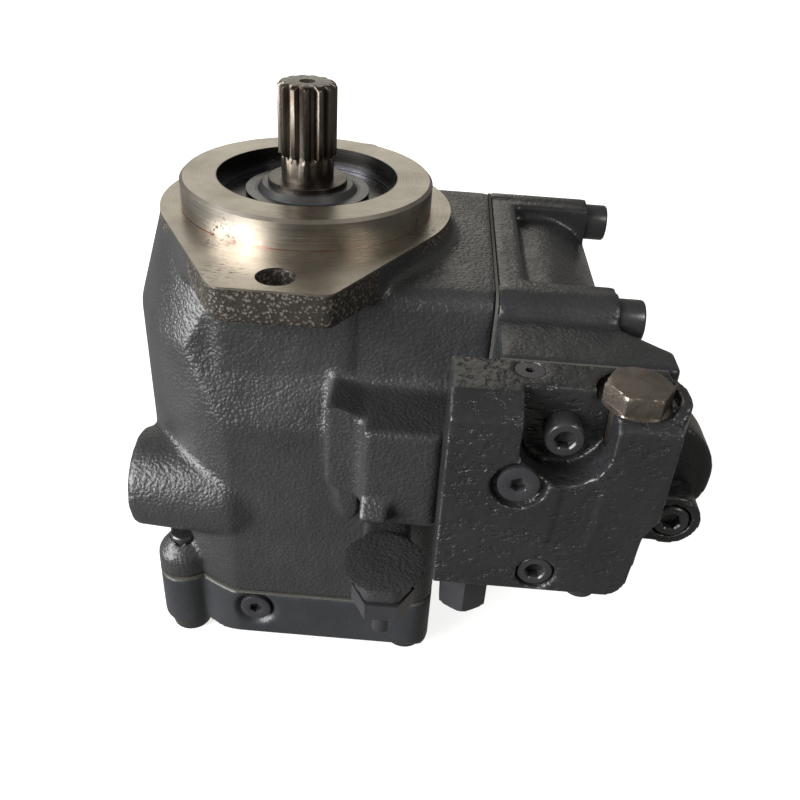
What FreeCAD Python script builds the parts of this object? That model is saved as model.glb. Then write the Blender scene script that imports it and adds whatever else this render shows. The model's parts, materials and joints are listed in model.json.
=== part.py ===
import FreeCAD, Part
import os
import re
import Sketcher

# Axial piston pump, closed-circuit type with a tilting swashplate at neutral.
# Millimetres. The origin is the centre of the mounting flange's face, on the shaft axis.
# +Z runs along the shaft towards its splined end, -Y points to the control block and
# +X points to the servo housing.

V = FreeCAD.Vector
os.makedirs("parts", exist_ok=True)
doc = FreeCAD.newDocument("AxialPistonPump")
sheet = doc.addObject("Spreadsheet::Sheet", "dims")

DIMENSIONS = [
    # general clearances
    ("screw_gap", 0.05, "radial gap between a screw shank and its hole"),
    ("run_gap", 0.05, "radial gap of a running fit"),
    ("seat_gap", 0.02, "gap between a pressed-in piece and its seat"),
    # mounting flange and pilot
    ("pilot_radius", 50.8, "SAE B pilot"),
    ("pilot_height", 11.5, "pilot top above the flange face"),
    ("pilot_chamfer", 1.2, "chamfer of the pilot's outer edge"),
    ("flange_radius", 59, "round part of the flange"),
    ("flange_thickness", 13.5, "thickness of the ears"),
    ("ear_reach", 84, "flange centre to an ear's straight edge"),
    ("ear_half_width", 20.5, "half of an ear's straight edge"),
    ("ear_corner", 6, "corner radius of an ear"),
    ("mount_offset", 73, "flange centre to a mounting hole"),
    ("mount_hole_radius", 7.15, "mounting hole"),
    ("pedestal_reach", 60, "half depth of the neck under the flange"),
    ("pedestal_half_width", 26, "half of the neck's straight front"),
    ("pedestal_foot", 46, "depth at which the neck ends"),
    # main housing
    ("barrel_radius", 70, "round left side of the housing"),
    ("body_half_depth", 66, "front and back walls of the housing"),
    ("body_right", 65, "right wall of the housing"),
    ("body_corner", 10, "corner radius on the right of the housing"),
    ("body_depth", 161, "flange face to the rear seam"),
    ("neck_depth", 40, "depth where the neck reaches the full barrel"),
    ("shoulder_depth", 70, "depth where the sloped shoulder ends"),
    ("cavity_radius", 56, "bore around the rotating group"),
    ("cavity_neck_radius", 50, "bore around the swashplate"),
    ("cavity_step_depth", 76, "depth of the step between the two bores"),
    ("cavity_top_depth", 33, "depth of the cavity's top"),
    ("bridge_length", 12, "right wall of the housing to the servo seam"),
    ("bridge_right", "=body_right + bridge_length", "seam to the servo housing"),
    ("bridge_half_depth", 59, "half depth of the box to the right of the neck"),
    ("bridge_top_depth", 9.5, "top of that box below the flange face"),
    ("bridge_foot_depth", 84, "underside of that box"),
    ("bridge_round", 8, "long top edges of that box"),
    ("window_half_width", 30, "window for the swashplate's arm, along Y"),
    ("window_top_depth", 24, "top of that window"),
    ("window_foot_depth", 62, "foot of that window"),
    # drain boss
    ("drain_depth", 114, "depth of the drain boss axis"),
    ("drain_offset", 46, "drain boss axis in front of the shaft axis"),
    ("drain_face", 67, "open face of the drain boss, to the left"),
    ("drain_face_radius", 21.5, "drain boss at its face"),
    ("drain_root_radius", 24, "drain boss where its tip starts"),
    ("drain_root", 23, "where the tip of the drain boss starts"),
    ("drain_tip_radius", 10, "end of the tip"),
    ("drain_tip_length", 35, "length of the tip"),
    ("drain_spotface_radius", 16.5, "seal face around the drain port"),
    ("drain_spotface_depth", 1.5, "its depth"),
    ("drain_port_radius", 10.4, "drain port thread core"),
    ("drain_port_length", 17, "drain port thread length"),
    ("drain_passage_radius", 6, "passage from the drain port to the cavity"),
    # control arm on the front wall
    ("arm_left", 33, "left end of the arm"),
    ("arm_step", 61, "right end of the arm's full depth"),
    ("arm_front", 91, "front face of the arm"),
    ("arm_top_depth", 49, "top of the arm"),
    ("arm_foot_depth", 92, "underside of the arm"),
    ("lug_left", 18, "left end of the thin lug"),
    ("lug_front", 82, "front face of the thin lug"),
    ("lug_top_depth", 45, "top of the lug"),
    ("lug_foot_depth", 85, "underside of the lug"),
    ("step_right", 44, "right end of the ledge on the arm"),
    ("step_front", 97, "front of the ledge on the arm"),
    ("step_top_depth", 79, "top of the ledge's slope"),
    ("step_edge_depth", 85, "front edge of the ledge's slope"),
    ("disc_across", 44, "disc boss axis, along X"),
    ("disc_front", 103, "disc boss axis, in front of the shaft axis"),
    ("disc_radius", 16.6, "disc boss"),
    ("disc_top_depth", 99, "top of the disc boss"),
    ("disc_foot_depth", 112, "underside of the disc boss"),
    ("disc_thickness", 1.5, "thickness of the disc on the boss"),
    # end cover
    ("gasket_thickness", 1, "paper gasket"),
    ("cover_length", 28, "end cover, gasket to rear face"),
    ("cover_end_depth", "=body_depth + gasket_thickness + cover_length", "rear face of the end cover"),
    ("cover_chamfer", 3, "edge of the rear face"),
    ("cover_screw_left", 50, "end cover screws on the left"),
    ("cover_screw_right", 54, "end cover screws on the right"),
    ("cover_screw_offset", 50, "end cover screws, along Y"),
    ("cover_boss_radius", 12, "boss around an end cover screw"),
    ("cover_boss_length", 10, "length of such a boss on the housing"),
    ("cover_screw_sink", 4, "counterbore of an end cover screw"),
    ("cover_screw_length", 44, "end cover screw shank"),
    ("port_offset", 36, "main port axis, along X"),
    ("port_radius", 12.5, "main port bore"),
    ("port_length", 18, "main port bore length"),
    ("port_bolt_long", 52.4, "main port bolt pattern, along Y"),
    ("port_bolt_short", 26.2, "main port bolt pattern, along X"),
    ("port_thread_radius", 4.25, "main port bolt hole, thread core"),
    ("port_thread_length", 16, "main port bolt hole length"),
    # shaft
    ("spline_top", 47.5, "splined end above the flange face"),
    ("spline_foot", 20, "start of the splines"),
    ("spline_radius", 11.6, "outer radius of the splines"),
    ("spline_root_radius", 9.8, "root radius of the splines"),
    ("spline_chamfer", 1.4, "chamfer of the splined end"),
    ("spline_count", 13, "number of teeth"),
    ("neck_radius", 10.5, "plain neck below the splines"),
    ("collar_radius", 16, "seal journal"),
    ("collar_top", 11, "top of the seal journal"),
    ("journal_radius", 17.5, "front bearing seat on the shaft"),
    ("shoulder_radius", 20.5, "shoulder behind the front bearing"),
    ("shoulder_length", 5, "length of that shoulder"),
    ("stem_radius", 15, "shaft through the swashplate"),
    ("drive_radius", 13, "root of the block's drive teeth"),
    ("drive_tooth_radius", 15, "outer radius of the drive teeth"),
    ("drive_tooth_width", 4, "width of a drive tooth"),
    ("drive_teeth", 10, "number of drive teeth"),
    ("tail_radius", 12.5, "rear bearing journal"),
    ("tail_end_inset", 6, "rear end of the shaft, inside the cover's rear face"),
    ("tail_end_depth", "=cover_end_depth - tail_end_inset", "rear end of the shaft"),
    ("centre_hole_radius", 2.2, "centre hole in the splined end"),
    # front bearing and seal
    ("bearing_depth", 9, "top of the front bearing"),
    ("bearing_width", 18, "width of the front bearing"),
    ("bearing_radius", 31, "outer radius of the front bearing"),
    ("race_out", 27.6, "roller track of the outer ring"),
    ("race_in", 21.4, "roller track of the inner ring"),
    ("roller_length", 11, "front roller length"),
    ("front_rollers", 16, "number of front rollers"),
    ("carrier_radius", 36.3, "recess in the pilot"),
    ("carrier_foot_depth", 6, "foot of the recess"),
    ("carrier_top", 3, "top of the seal carrier"),
    ("seal_radius", 25, "outer radius of the shaft seal"),
    ("seal_bore", 21.5, "inner radius of the seal case"),
    ("seal_top", 5.8, "top of the seal case"),
    ("seal_height", 8, "height of the seal case"),
    ("seal_wall", 1.2, "wall of the seal case"),
    ("lip_top", 8.2, "top of the dust lip"),
    ("ring_section", 1.6, "thickness of the snap ring"),
    ("cord_radius", 1.3, "section radius of the carrier's O-ring"),
    # rear bearing
    ("rear_bearing_inset", 25, "top of the rear bearing, inside the cover's rear face"),
    ("rear_bearing_depth", "=cover_end_depth - rear_bearing_inset", "top of the rear bearing"),
    ("rear_bearing_width", 18, "width of the rear bearing"),
    ("rear_bearing_radius", 20.5, "outer radius of the rear bearing"),
    ("rear_race", 17.6, "roller track of the rear outer ring"),
    ("rear_rollers", 16, "number of rear rollers"),
    ("rear_roller_length", 13, "rear roller length"),
    # rotating group
    ("piston_count", 9, "number of pistons"),
    ("piston_pitch", 33, "pitch circle radius of the pistons"),
    ("piston_radius", 8.5, "piston"),
    ("piston_foot_gap", 18, "rear end of a piston at neutral, to the valve plate"),
    ("piston_foot_depth", "=valve_face_depth - piston_foot_gap", "rear end of a piston"),
    ("piston_head_depth", 84, "start of a piston's full diameter"),
    ("piston_hole_radius", 5, "hollow of a piston"),
    ("piston_hole_length", 30, "length of that hollow"),
    ("ball_radius", 6.5, "piston ball"),
    ("ball_neck_radius", 4.2, "neck under the ball"),
    ("tilt_depth", 70, "tilt axis, and the plane of the balls"),
    ("slipper_thickness", 8, "swashplate face to the ball's centre"),
    ("slipper_radius", 10.6, "slipper foot"),
    ("slipper_foot_height", 3.5, "thickness of the slipper foot"),
    ("slipper_neck_radius", 8.6, "slipper socket"),
    ("slipper_wrap", 4, "how far the socket passes the ball's centre"),
    ("block_radius", 46, "cylinder block"),
    ("block_top_depth", 92, "front face of the cylinder block"),
    ("valve_face_inset", 38, "valve plate's front face, inside the cover's rear face"),
    ("valve_face_depth", "=cover_end_depth - valve_face_inset", "face between block and valve plate"),
    ("valve_plate_thickness", 5, "valve plate"),
    ("valve_plate_radius", 46, "valve plate"),
    ("hub_radius", 20, "hub of the cylinder block"),
    ("hub_top_depth", 88, "front of that hub"),
    ("spring_room_radius", 22.5, "spring room in the block"),
    ("spring_room_length", 27, "spring room in front of the snap ring"),
    ("spring_room_top_depth", "=snap_depth - spring_room_length", "front end of the spring room"),
    ("kidney_inner", 28.5, "inner radius of a kidney slot"),
    ("kidney_outer", 37.5, "outer radius of a kidney slot"),
    ("kidney_sweep", 130, "sweep of a kidney slot in degrees"),
    ("block_port_radius", 4.5, "port at the rear of a cylinder bore"),
    ("block_port_length", 8, "length of that port"),
    ("guide_radius", 21, "spherical guide under the retainer"),
    ("guide_foot_depth", 84, "rear face of the guide"),
    ("retainer_thickness", 3, "slipper retainer"),
    ("retainer_radius", 44.5, "slipper retainer"),
    ("retainer_bore", 18, "bore of the slipper retainer"),
    ("pin_radius", 1.6, "hold-down pin"),
    ("pin_pitch", 17.8, "pitch circle radius of the hold-down pins"),
    ("block_spring_coil", 18.7, "mean radius of the block spring"),
    ("block_spring_wire", 1.7, "wire radius of the block spring"),
    ("block_spring_turns", 4, "turns of the block spring"),
    ("washer_thickness", 2, "spring washer"),
    ("snap_inset", 5, "the block's snap ring, inside the block's rear face"),
    ("snap_depth", "=valve_face_depth - snap_inset", "front face of the block's snap ring"),
    ("snap_thickness", 1.8, "the block's snap ring"),
    ("snap_groove", 1.2, "depth of its groove"),
    # swashplate
    ("swash_radius", 46, "running face of the swashplate"),
    ("swash_rim", 6, "thickness of the swashplate's rim"),
    ("cradle_radius", 33, "curved back of the swashplate"),
    ("cradle_inner", 22, "inner side of a cradle"),
    ("cradle_outer", 40, "outer side of a cradle"),
    ("shell_thickness", 2, "cradle bearing shell"),
    ("shell_half_width", 24, "half of a shell's chord"),
    ("swash_hole_x", 18, "half of the shaft's slot along X"),
    ("swash_hole_y", 26, "half of the shaft's slot along Y"),
    ("lever_half_width", 6, "half of the swashplate's arm along Y"),
    ("lever_half_height", 6, "half of the arm along Z"),
    ("lever_overhang", 24, "its distance right of the servo seam"),
    ("lever_reach", "=bridge_right + lever_overhang", "end of the arm along X"),
    # servo housing
    ("servo_across_reach", 23, "its distance right of the servo seam"),
    ("servo_across", "=bridge_right + servo_across_reach", "servo cylinder axis, along X"),
    ("servo_depth", 42, "servo cylinder axis, below the flange face"),
    ("servo_wall_radius", 27, "outside of the servo cylinder"),
    ("servo_bore", 16, "servo bore"),
    ("servo_bore_front", 54, "closed front end of the servo bore"),
    ("servo_right_reach", 45.3, "its distance right of the servo seam"),
    ("servo_right", "=bridge_right + servo_right_reach", "right end of the servo housing"),
    ("servo_plate_right_reach", 12, "its distance right of the servo seam"),
    ("servo_plate_right", "=bridge_right + servo_plate_right_reach", "right side of the servo housing's flange"),
    ("servo_screw_offset", 49, "servo housing screws, along Y"),
    ("servo_screw_top", 18.5, "depth of the upper screws"),
    ("servo_screw_foot", 70, "depth of the lower screws"),
    ("servo_boss_radius", 10, "boss around such a screw"),
    ("servo_screw_grip", 18, "length of such a screw in the main housing"),
    ("servo_piston_half", 40, "half length of the servo piston"),
    ("servo_cover_thickness", 8, "cover on the back of the servo bore"),
    ("pad_right_reach", 62, "its distance right of the servo seam"),
    ("pad_right", "=bridge_right + pad_right_reach", "right side of the control pad"),
    ("pad_front", 88, "front of the control pad"),
    ("pad_top_depth", 16, "top of the pad and of the control block"),
    ("pad_foot_depth", 90, "underside of the pad"),
    ("pad_notch_x_reach", 44, "its distance right of the servo seam"),
    ("pad_notch_x", "=bridge_right + pad_notch_x_reach", "start of the pad's slanted corner"),
    ("pad_notch_y", 75, "end of the pad's slanted corner"),
    ("lobe_across_reach", 59, "its distance right of the servo seam"),
    ("lobe_across", "=bridge_right + lobe_across_reach", "lobe on the right of the pad, along X"),
    ("lobe_depth", 60, "lobe axis depth"),
    ("lobe_radius", 23.5, "lobe"),
    ("lobe_back", 70, "back of the lobe"),
    # control block
    ("block_gasket", 0.8, "gasket behind the control block"),
    ("control_left_reach", 15.5, "its distance left of the servo seam"),
    ("control_left", "=bridge_right - control_left_reach", "left face of the control block"),
    ("control_right_reach", 57.5, "its distance right of the servo seam"),
    ("control_right", "=bridge_right + control_right_reach", "right face of the control block"),
    ("control_front", 118, "front face of the control block"),
    ("control_foot_depth", 92.5, "underside of the control block"),
    ("control_bevel_y", 109, "back edge of the front bevel"),
    ("control_bevel_depth", 22, "lower edge of the front bevel"),
    ("control_corner", 9, "rounded lower right corner"),
    ("ear_across_reach", 67.5, "its distance right of the servo seam"),
    ("ear_across", "=bridge_right + ear_across_reach", "right ear screw, along X"),
    ("ear_depth", 70, "right ear screw depth"),
    ("ear_radius", 10.5, "right ear"),
    ("ear_front", 101, "front face of the right ear"),
    ("ear_screw_sink", 7.5, "counterbore of the right ear's screw"),
    ("pocket_across_reach", 22.5, "its distance right of the servo seam"),
    ("pocket_across", "=bridge_right + pocket_across_reach", "upper screw, along X"),
    ("pocket_depth", 31, "upper screw depth"),
    ("pocket_radius", 14.5, "pocket around the upper screw"),
    ("pocket_floor", 104, "floor of that pocket"),
    ("low_screw_across_reach", 20, "its distance right of the servo seam"),
    ("low_screw_across", "=bridge_right + low_screw_across_reach", "lower screw, along X"),
    ("low_screw_depth", 84.3, "lower screw depth"),
    ("low_screw_sink", 9, "counterbore of the lower screw"),
    ("control_screw_grip", 20, "length of a control screw in the pad"),
    ("label_depth", 0.6, "recess for a blank label"),
    ("big_plug_x_reach", 44.5, "its distance right of the servo seam"),
    ("big_plug_x", "=bridge_right + big_plug_x_reach", "big hex plug, along X"),
    ("big_plug_y", 103, "big hex plug, in front of the shaft axis"),
    ("big_plug_flats", 19.5, "big hex plug across flats"),
    ("big_plug_top", 12.5, "depth of the big hex plug's top"),
    ("big_plug_bore", 8, "its thread"),
    ("big_plug_length", 18, "its thread length"),
    ("big_spotface_radius", 13.2, "spotface around the big plug"),
    ("big_spotface_depth", 4, "depth of that spotface"),
    ("big_boss_radius", 17, "round corner around the big plug"),
    ("big_boss_foot", 46, "depth where that corner ends"),
    ("plug_radius", 7, "socket plug head"),
    ("plug_thread", 5, "socket plug thread"),
    ("plug_head", 2.4, "socket plug head height"),
    ("plug_length", 8, "socket plug thread length"),
    ("plug_socket", 5, "socket plug hexagon across flats"),
    ("plug_spotface", 9.3, "spotface around a socket plug"),
    ("plug_sink", 3, "depth of that spotface"),
    ("front_plug_x_reach", 9.3, "its distance right of the servo seam"),
    ("front_plug_x", "=bridge_right + front_plug_x_reach", "plug on the control block's front, along X"),
    ("front_plug_depth", 46.3, "its depth"),
    ("top_plug_x_reach", 10.4, "its distance right of the servo seam"),
    ("top_plug_x", "=bridge_right + top_plug_x_reach", "plug on the control block's top, along X"),
    ("top_plug_y", 94, "its place in front of the shaft axis"),
    ("cover_plug_x", 15, "plug on the end cover, left of the shaft axis"),
    ("cover_plug_inset", 18, "its place, from the cover's rear face"),
    ("cover_plug_depth", "=cover_end_depth - cover_plug_inset", "its depth"),
    ("under_plug_x_reach", 3, "its distance left of the servo seam"),
    ("under_plug_x", "=bridge_right - under_plug_x_reach", "hex plug under the control block, along X"),
    ("under_plug_y", 103, "hex plug under the control block, along Y"),
    ("under_plug_flats", 17, "hex plug under the control block"),
    ("under_plug_foot", 113, "its lower end"),
    ("under_plug_thread", 6.5, "its thread"),
    ("tail_plug_x_reach", 40, "its distance right of the servo seam"),
    ("tail_plug_x", "=bridge_right + tail_plug_x_reach", "round plug under the control block, along X"),
    ("tail_plug_foot", 103, "its lower end"),
    ("tail_plug_cap_radius", 6, "its cap"),
    ("tail_plug_thread", 4, "its thread"),
    # spool
    ("spool_y", 98, "spool axis, in front of the shaft axis"),
    ("spool_depth", 52.5, "spool axis depth"),
    ("spool_radius", 6, "spool"),
    ("spool_left_reach", 9, "its distance right of the servo seam"),
    ("spool_left", "=bridge_right + spool_left_reach", "left end of the spool"),
    ("spool_right_reach", 37, "its distance right of the servo seam"),
    ("spool_right", "=bridge_right + spool_right_reach", "right end of the spool"),
    ("spool_travel", 3, "travel each way"),
    ("spool_bore_left_reach", 7, "its distance left of the servo seam"),
    ("spool_bore_left", "=bridge_right - spool_bore_left_reach", "left end of the spool bore"),
    ("spool_groove", 3.2, "radius left in the spool's grooves"),
    ("spool_plug_thread", 6.5, "thread of the spool's end plug"),
    ("spool_plug_length", 8, "length of that thread"),
    ("spool_plug_hex", 6, "hexagon across flats in the end of that plug"),
    ("spool_spring_coil", 4.3, "mean radius of a spool spring"),
    ("spool_spring_wire", 0.7, "wire radius of a spool spring"),
    ("spool_spring_turns", 5, "turns of a spool spring"),
    ("link_radius", 2.4, "feedback link"),
    # adjuster under the disc
    ("adjuster_flats", 21, "hex plug under the disc boss"),
    ("adjuster_foot", 119.5, "its lower end"),
    ("adjuster_thread", 7, "its thread"),
    ("adjuster_length", 10, "its thread length"),
    ("stud_radius", 3.6, "adjusting screw"),
    ("stud_foot", 134, "lower end of the adjusting screw"),
    ("nut_flats", 12, "lock nut"),
    ("nut_height", 4, "lock nut"),
    # screws: shank radius, head radius, head height, hexagon across flats
    ("m12_shank", 6, "M12 socket screw"),
    ("m12_head", 9, "M12 head"),
    ("m12_hex", 10, "M12 hexagon"),
    ("m10_shank", 5, "M10 socket screw"),
    ("m10_head", 8, "M10 head"),
    ("m10_hex", 8, "M10 hexagon"),
    ("m8_shank", 4, "M8 socket screw"),
    ("m8_head", 6.5, "M8 head"),
    ("m8_hex", 6, "M8 hexagon"),
    ("m5_shank", 2.5, "M5 socket screw"),
    ("m5_head", 4.25, "M5 head"),
    ("m5_hex", 4, "M5 hexagon"),
]

ALIASES = set()
for row, (alias, value, meaning) in enumerate(DIMENSIONS, start=1):
    sheet.set(f"A{row}", str(value))
    sheet.setAlias(f"A{row}", alias)
    sheet.set(f"B{row}", meaning)
    ALIASES.add(alias)
doc.recompute()


# ---------------------------------------------------------------- helpers

def formula(text):
    """Put the sheet's name before every alias in an expression."""
    def prefix(match):
        word = match.group(0)
        return "dims." + word if word in ALIASES else word
    return re.sub(r"[A-Za-z_][A-Za-z_0-9]*", prefix, str(text))


def number(text):
    """The present value of an expression."""
    result = sheet.evalExpression(formula(text))
    return float(getattr(result, "Value", result))


def bind(thing, **sizes):
    """Bind properties to expressions; a double underscore stands for a dot."""
    for name, text in sizes.items():
        thing.setExpression(name.replace("__", "."), formula(text))


TURN = {
    "+X": FreeCAD.Rotation(V(0, 1, 0), 90),
    "-X": FreeCAD.Rotation(V(0, 1, 0), -90),
    "+Y": FreeCAD.Rotation(V(1, 0, 0), -90),
    "-Y": FreeCAD.Rotation(V(1, 0, 0), 90),
    "+Z": FreeCAD.Rotation(),
    "-Z": FreeCAD.Rotation(V(1, 0, 0), 180),
}


def place(thing, axis, at):
    """Turn a primitive's own +Z to the axis and bind its place."""
    thing.Placement = FreeCAD.Placement(V(0, 0, 0), TURN[axis])
    bind(thing, Placement__Base__x=at[0], Placement__Base__y=at[1], Placement__Base__z=at[2])
    return thing


def box(name, x, y, z):
    """A box between two values on each axis."""
    solid = doc.addObject("Part::Box", name)
    bind(solid, Length=f"({x[1]}) - ({x[0]})", Width=f"({y[1]}) - ({y[0]})")
    bind(solid, Height=f"({z[1]}) - ({z[0]})")
    return place(solid, "+Z", (x[0], y[0], z[0]))


def cylinder(name, axis, at, radius, length):
    """A cylinder that starts at a point and runs along an axis."""
    solid = doc.addObject("Part::Cylinder", name)
    bind(solid, Radius=radius, Height=length)
    return place(solid, axis, at)


def cone(name, axis, at, radius_start, radius_end, length):
    """A cone that starts at a point and runs along an axis."""
    solid = doc.addObject("Part::Cone", name)
    bind(solid, Radius1=radius_start, Radius2=radius_end, Height=length)
    return place(solid, axis, at)


def sphere(name, at, radius):
    """A ball."""
    solid = doc.addObject("Part::Sphere", name)
    bind(solid, Radius=radius)
    return place(solid, "+Z", at)


def torus(name, at, radius, section):
    """A ring about the Z direction."""
    solid = doc.addObject("Part::Torus", name)
    bind(solid, Radius1=radius, Radius2=section)
    return place(solid, "+Z", at)


def hexagon(name, axis, at, flats, length):
    """A hexagonal prism, given across flats."""
    solid = doc.addObject("Part::Prism", name)
    solid.Polygon = 6
    bind(solid, Circumradius=f"({flats}) / sqrt(3)", Height=length)
    return place(solid, axis, at)


def fuse(name, pieces):
    """One solid of several that overlap."""
    solid = doc.addObject("Part::MultiFuse", name)
    solid.Shapes = pieces
    solid.Refine = True
    return solid


def group(name, pieces):
    """Separate solids that share one node."""
    solids = doc.addObject("Part::Compound", name)
    solids.Links = pieces
    return solids


def cut(name, base, tools):
    """A solid with one or more tools taken away."""
    tool = tools[0]
    if len(tools) > 1:
        tool = doc.addObject("Part::MultiFuse", name + "_tools")
        tool.Shapes = tools
    solid = doc.addObject("Part::Cut", name)
    solid.Base = base
    solid.Tool = tool
    solid.Refine = True
    return solid


def common(name, first, second):
    """What two solids share."""
    solid = doc.addObject("Part::Common", name)
    solid.Base = first
    solid.Tool = second
    solid.Refine = True
    return solid


def outline(body, name, plane, points, offset="0"):
    """A closed sketch of straight lines on one of the body's planes, bound corner by corner."""
    sketch = body.newObject("Sketcher::SketchObject", name)
    origin_plane = [item for item in body.Origin.OriginFeatures if item.Role == plane][0]
    sketch.AttachmentSupport = [(origin_plane, "")]
    sketch.MapMode = "FlatFace"
    bind(sketch, AttachmentOffset__Base__z=offset)
    corners = [V(number(across), number(up), 0) for across, up in points]
    count = len(corners)
    for index in range(count):
        line = Part.LineSegment(corners[index], corners[(index + 1) % count])
        sketch.addGeometry(line, False)
    for index in range(count):
        joint = Sketcher.Constraint("Coincident", index, 2, (index + 1) % count, 1)
        sketch.addConstraint(joint)
    for index, (across, up) in enumerate(points):
        for kind, text, value in (("DistanceX", across, corners[index].x),
                                  ("DistanceY", up, corners[index].y)):
            place_at = sketch.addConstraint(Sketcher.Constraint(kind, -1, 1, index, 1, value))
            sketch.setExpression(f"Constraints[{place_at}]", formula(text))
    return sketch


NORMAL = {"XY_Plane": V(0, 0, 1), "XZ_Plane": V(0, -1, 0), "YZ_Plane": V(1, 0, 0)}
ACROSS = {"XY_Plane": V(1, 0, 0), "XZ_Plane": V(1, 0, 0), "YZ_Plane": V(0, 1, 0)}
UPWARD = {"XY_Plane": V(0, 1, 0), "XZ_Plane": V(0, 0, 1), "YZ_Plane": V(0, 0, 1)}


def plate(name, plane, points, offset, length, rounds=None):
    """A padded outline; rounds maps a corner's index to its fillet radius."""
    body = doc.addObject("PartDesign::Body", name)
    sketch = outline(body, name + "_outline", plane, points, offset)
    pad = body.newObject("PartDesign::Pad", name + "_pad")
    pad.Profile = sketch
    bind(pad, Length=length)
    doc.recompute()
    for index, radius in (rounds or {}).items():
        corner = ACROSS[plane] * number(points[index][0]) + UPWARD[plane] * number(points[index][1])
        base = body.Tip
        edges = []
        for count, edge in enumerate(base.Shape.Edges, start=1):
            middle = edge.valueAt((edge.FirstParameter + edge.LastParameter) / 2)
            flat = middle - NORMAL[plane] * middle.dot(NORMAL[plane])
            if (flat - corner).Length < 0.01:
                edges.append(f"Edge{count}")
        fillet = body.newObject("PartDesign::Fillet", f"{name}_round_{index}")
        fillet.Base = (base, edges)
        bind(fillet, Radius=radius)
        doc.recompute()
    return body


def turned(name, points):
    """A solid turned about the Z axis; points are radius and height."""
    body = doc.addObject("PartDesign::Body", name)
    sketch = outline(body, name + "_profile", "XZ_Plane", points)
    revolution = body.newObject("PartDesign::Revolution", name + "_turn")
    revolution.Profile = sketch
    revolution.ReferenceAxis = (sketch, ["V_Axis"])
    revolution.Angle = 360
    return body


def ring(name, inner, outer, top, foot):
    """A plain ring about the shaft axis, between two heights."""
    points = [(inner, foot), (outer, foot), (outer, top), (inner, top)]
    return turned(name, points)


def sector(name, inner, outer, middle, sweep, foot, height):
    """A curved slot about the shaft axis, centred on an angle in degrees."""
    whole = cylinder(name + "_whole", "+Z", ("0", "0", foot), outer, height)
    bind(whole, Angle=sweep)
    turn = FreeCAD.Rotation(V(0, 0, 1), middle - number(sweep) / 2)
    whole.Placement = FreeCAD.Placement(V(0, 0, number(foot)), turn)
    core = cylinder(name + "_core", "+Z", ("0", "0", foot), inner, height)
    return cut(name, whole, [core])


def around(radius, index, count, start=0.0):
    """Expressions for a place on a circle about the shaft axis."""
    angle = f"({start} + {index} * 360 / ({count}))"
    return f"({radius}) * cos({angle})", f"({radius}) * sin({angle})"


def step_back(axis, at, distance):
    """A point moved against an axis by a distance."""
    sign = "-" if axis[0] == "+" else "+"
    moved = list(at)
    column = "XYZ".index(axis[1])
    moved[column] = f"({at[column]}) {sign} ({distance})"
    return tuple(moved)


def socket_screw(name, axis, at, kind, length, head=None):
    """A socket head screw; at is the underside of its head and the axis runs to its tip."""
    head_height = head or f"2 * {kind}_shank"
    shank = cylinder(name + "_shank", axis, step_back(axis, at, "1"), f"{kind}_shank", f"{length} + 1")
    top = step_back(axis, at, head_height)
    cap = cylinder(name + "_cap", axis, top, f"{kind}_head", head_height)
    blank = fuse(name + "_blank", [shank, cap])
    socket = hexagon(name + "_socket", axis, top, f"{kind}_hex", f"0.55 * ({head_height})")
    return cut(name, blank, [socket])


def socket_plug(name, axis, at):
    """A socket head plug; at is the seat under its head and the axis runs to its tip."""
    thread = cylinder(name + "_thread", axis, step_back(axis, at, "1"), "plug_thread", "plug_length + 1")
    top = step_back(axis, at, "plug_head")
    cap = cylinder(name + "_cap", axis, top, "plug_radius", "plug_head")
    blank = fuse(name + "_blank", [thread, cap])
    socket = hexagon(name + "_socket", axis, top, "plug_socket", "plug_head + 1.5")
    return cut(name, blank, [socket])


def plug_seat(name, axis, at):
    """Tools for a socket plug's spotface and thread; at is the seat under its head."""
    face = cylinder(name + "_spotface", axis, step_back(axis, at, "10"), "plug_spotface", "10")
    hole = cylinder(name + "_hole", axis, at, "plug_thread + screw_gap", "plug_length + 2")
    return [face, hole]


def coil(name, axis, at, radius, wire, length, turns):
    """A helical spring whose wire lies within the length."""
    helix = doc.addObject("Part::Helix", name + "_helix")
    bind(helix, Radius=radius, Height=f"({length}) - 2 * ({wire})")
    bind(helix, Pitch=f"(({length}) - 2 * ({wire})) / ({turns})")
    helix.SegmentLength = 1
    section = doc.addObject("Part::Circle", name + "_section")
    bind(section, Radius=wire)
    section.Placement = FreeCAD.Placement(V(0, 0, 0), FreeCAD.Rotation(V(1, 0, 0), 90))
    bind(section, Placement__Base__x=radius)
    sweep = doc.addObject("Part::Sweep", name)
    sweep.Sections = [section]
    doc.recompute()
    sweep.Spine = (helix, [f"Edge{n + 1}" for n in range(len(helix.Shape.Edges))])
    sweep.Solid = True
    sweep.Frenet = True
    return place(sweep, axis, step_back(axis, at, f"-({wire})"))


def depth(value):
    """A height below the flange face."""
    return f"-({value})"


# ---------------------------------------------------------------- mounting flange and housing

def flank_point(half_width, reach):
    """Where the straight flank from an ear's corner touches the round of the flange."""
    far = f"(({half_width})^2 + ({reach})^2)"
    along = f"(flange_radius^2 / {far})"
    across = f"(flange_radius * sqrt({far} - flange_radius^2) / {far})"
    return (f"{along} * ({half_width}) + {across} * ({reach})",
            f"{along} * ({reach}) - {across} * ({half_width})")


def eared_plate(name, half_width, reach, foot, height, corner):
    """A plate with two ears, on the front and the back."""
    flank_x, flank_y = flank_point(half_width, reach)
    points = [
        (half_width, reach), (f"-({half_width})", reach),
        (f"-({flank_x})", flank_y), (f"-({flank_x})", f"-({flank_y})"),
        (f"-({half_width})", f"-({reach})"), (half_width, f"-({reach})"),
        (flank_x, f"-({flank_y})"), (flank_x, flank_y),
    ]
    rounds = {0: corner, 1: corner, 4: corner, 5: corner}
    return plate(name, "XY_Plane", points, foot, height, rounds)


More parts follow.
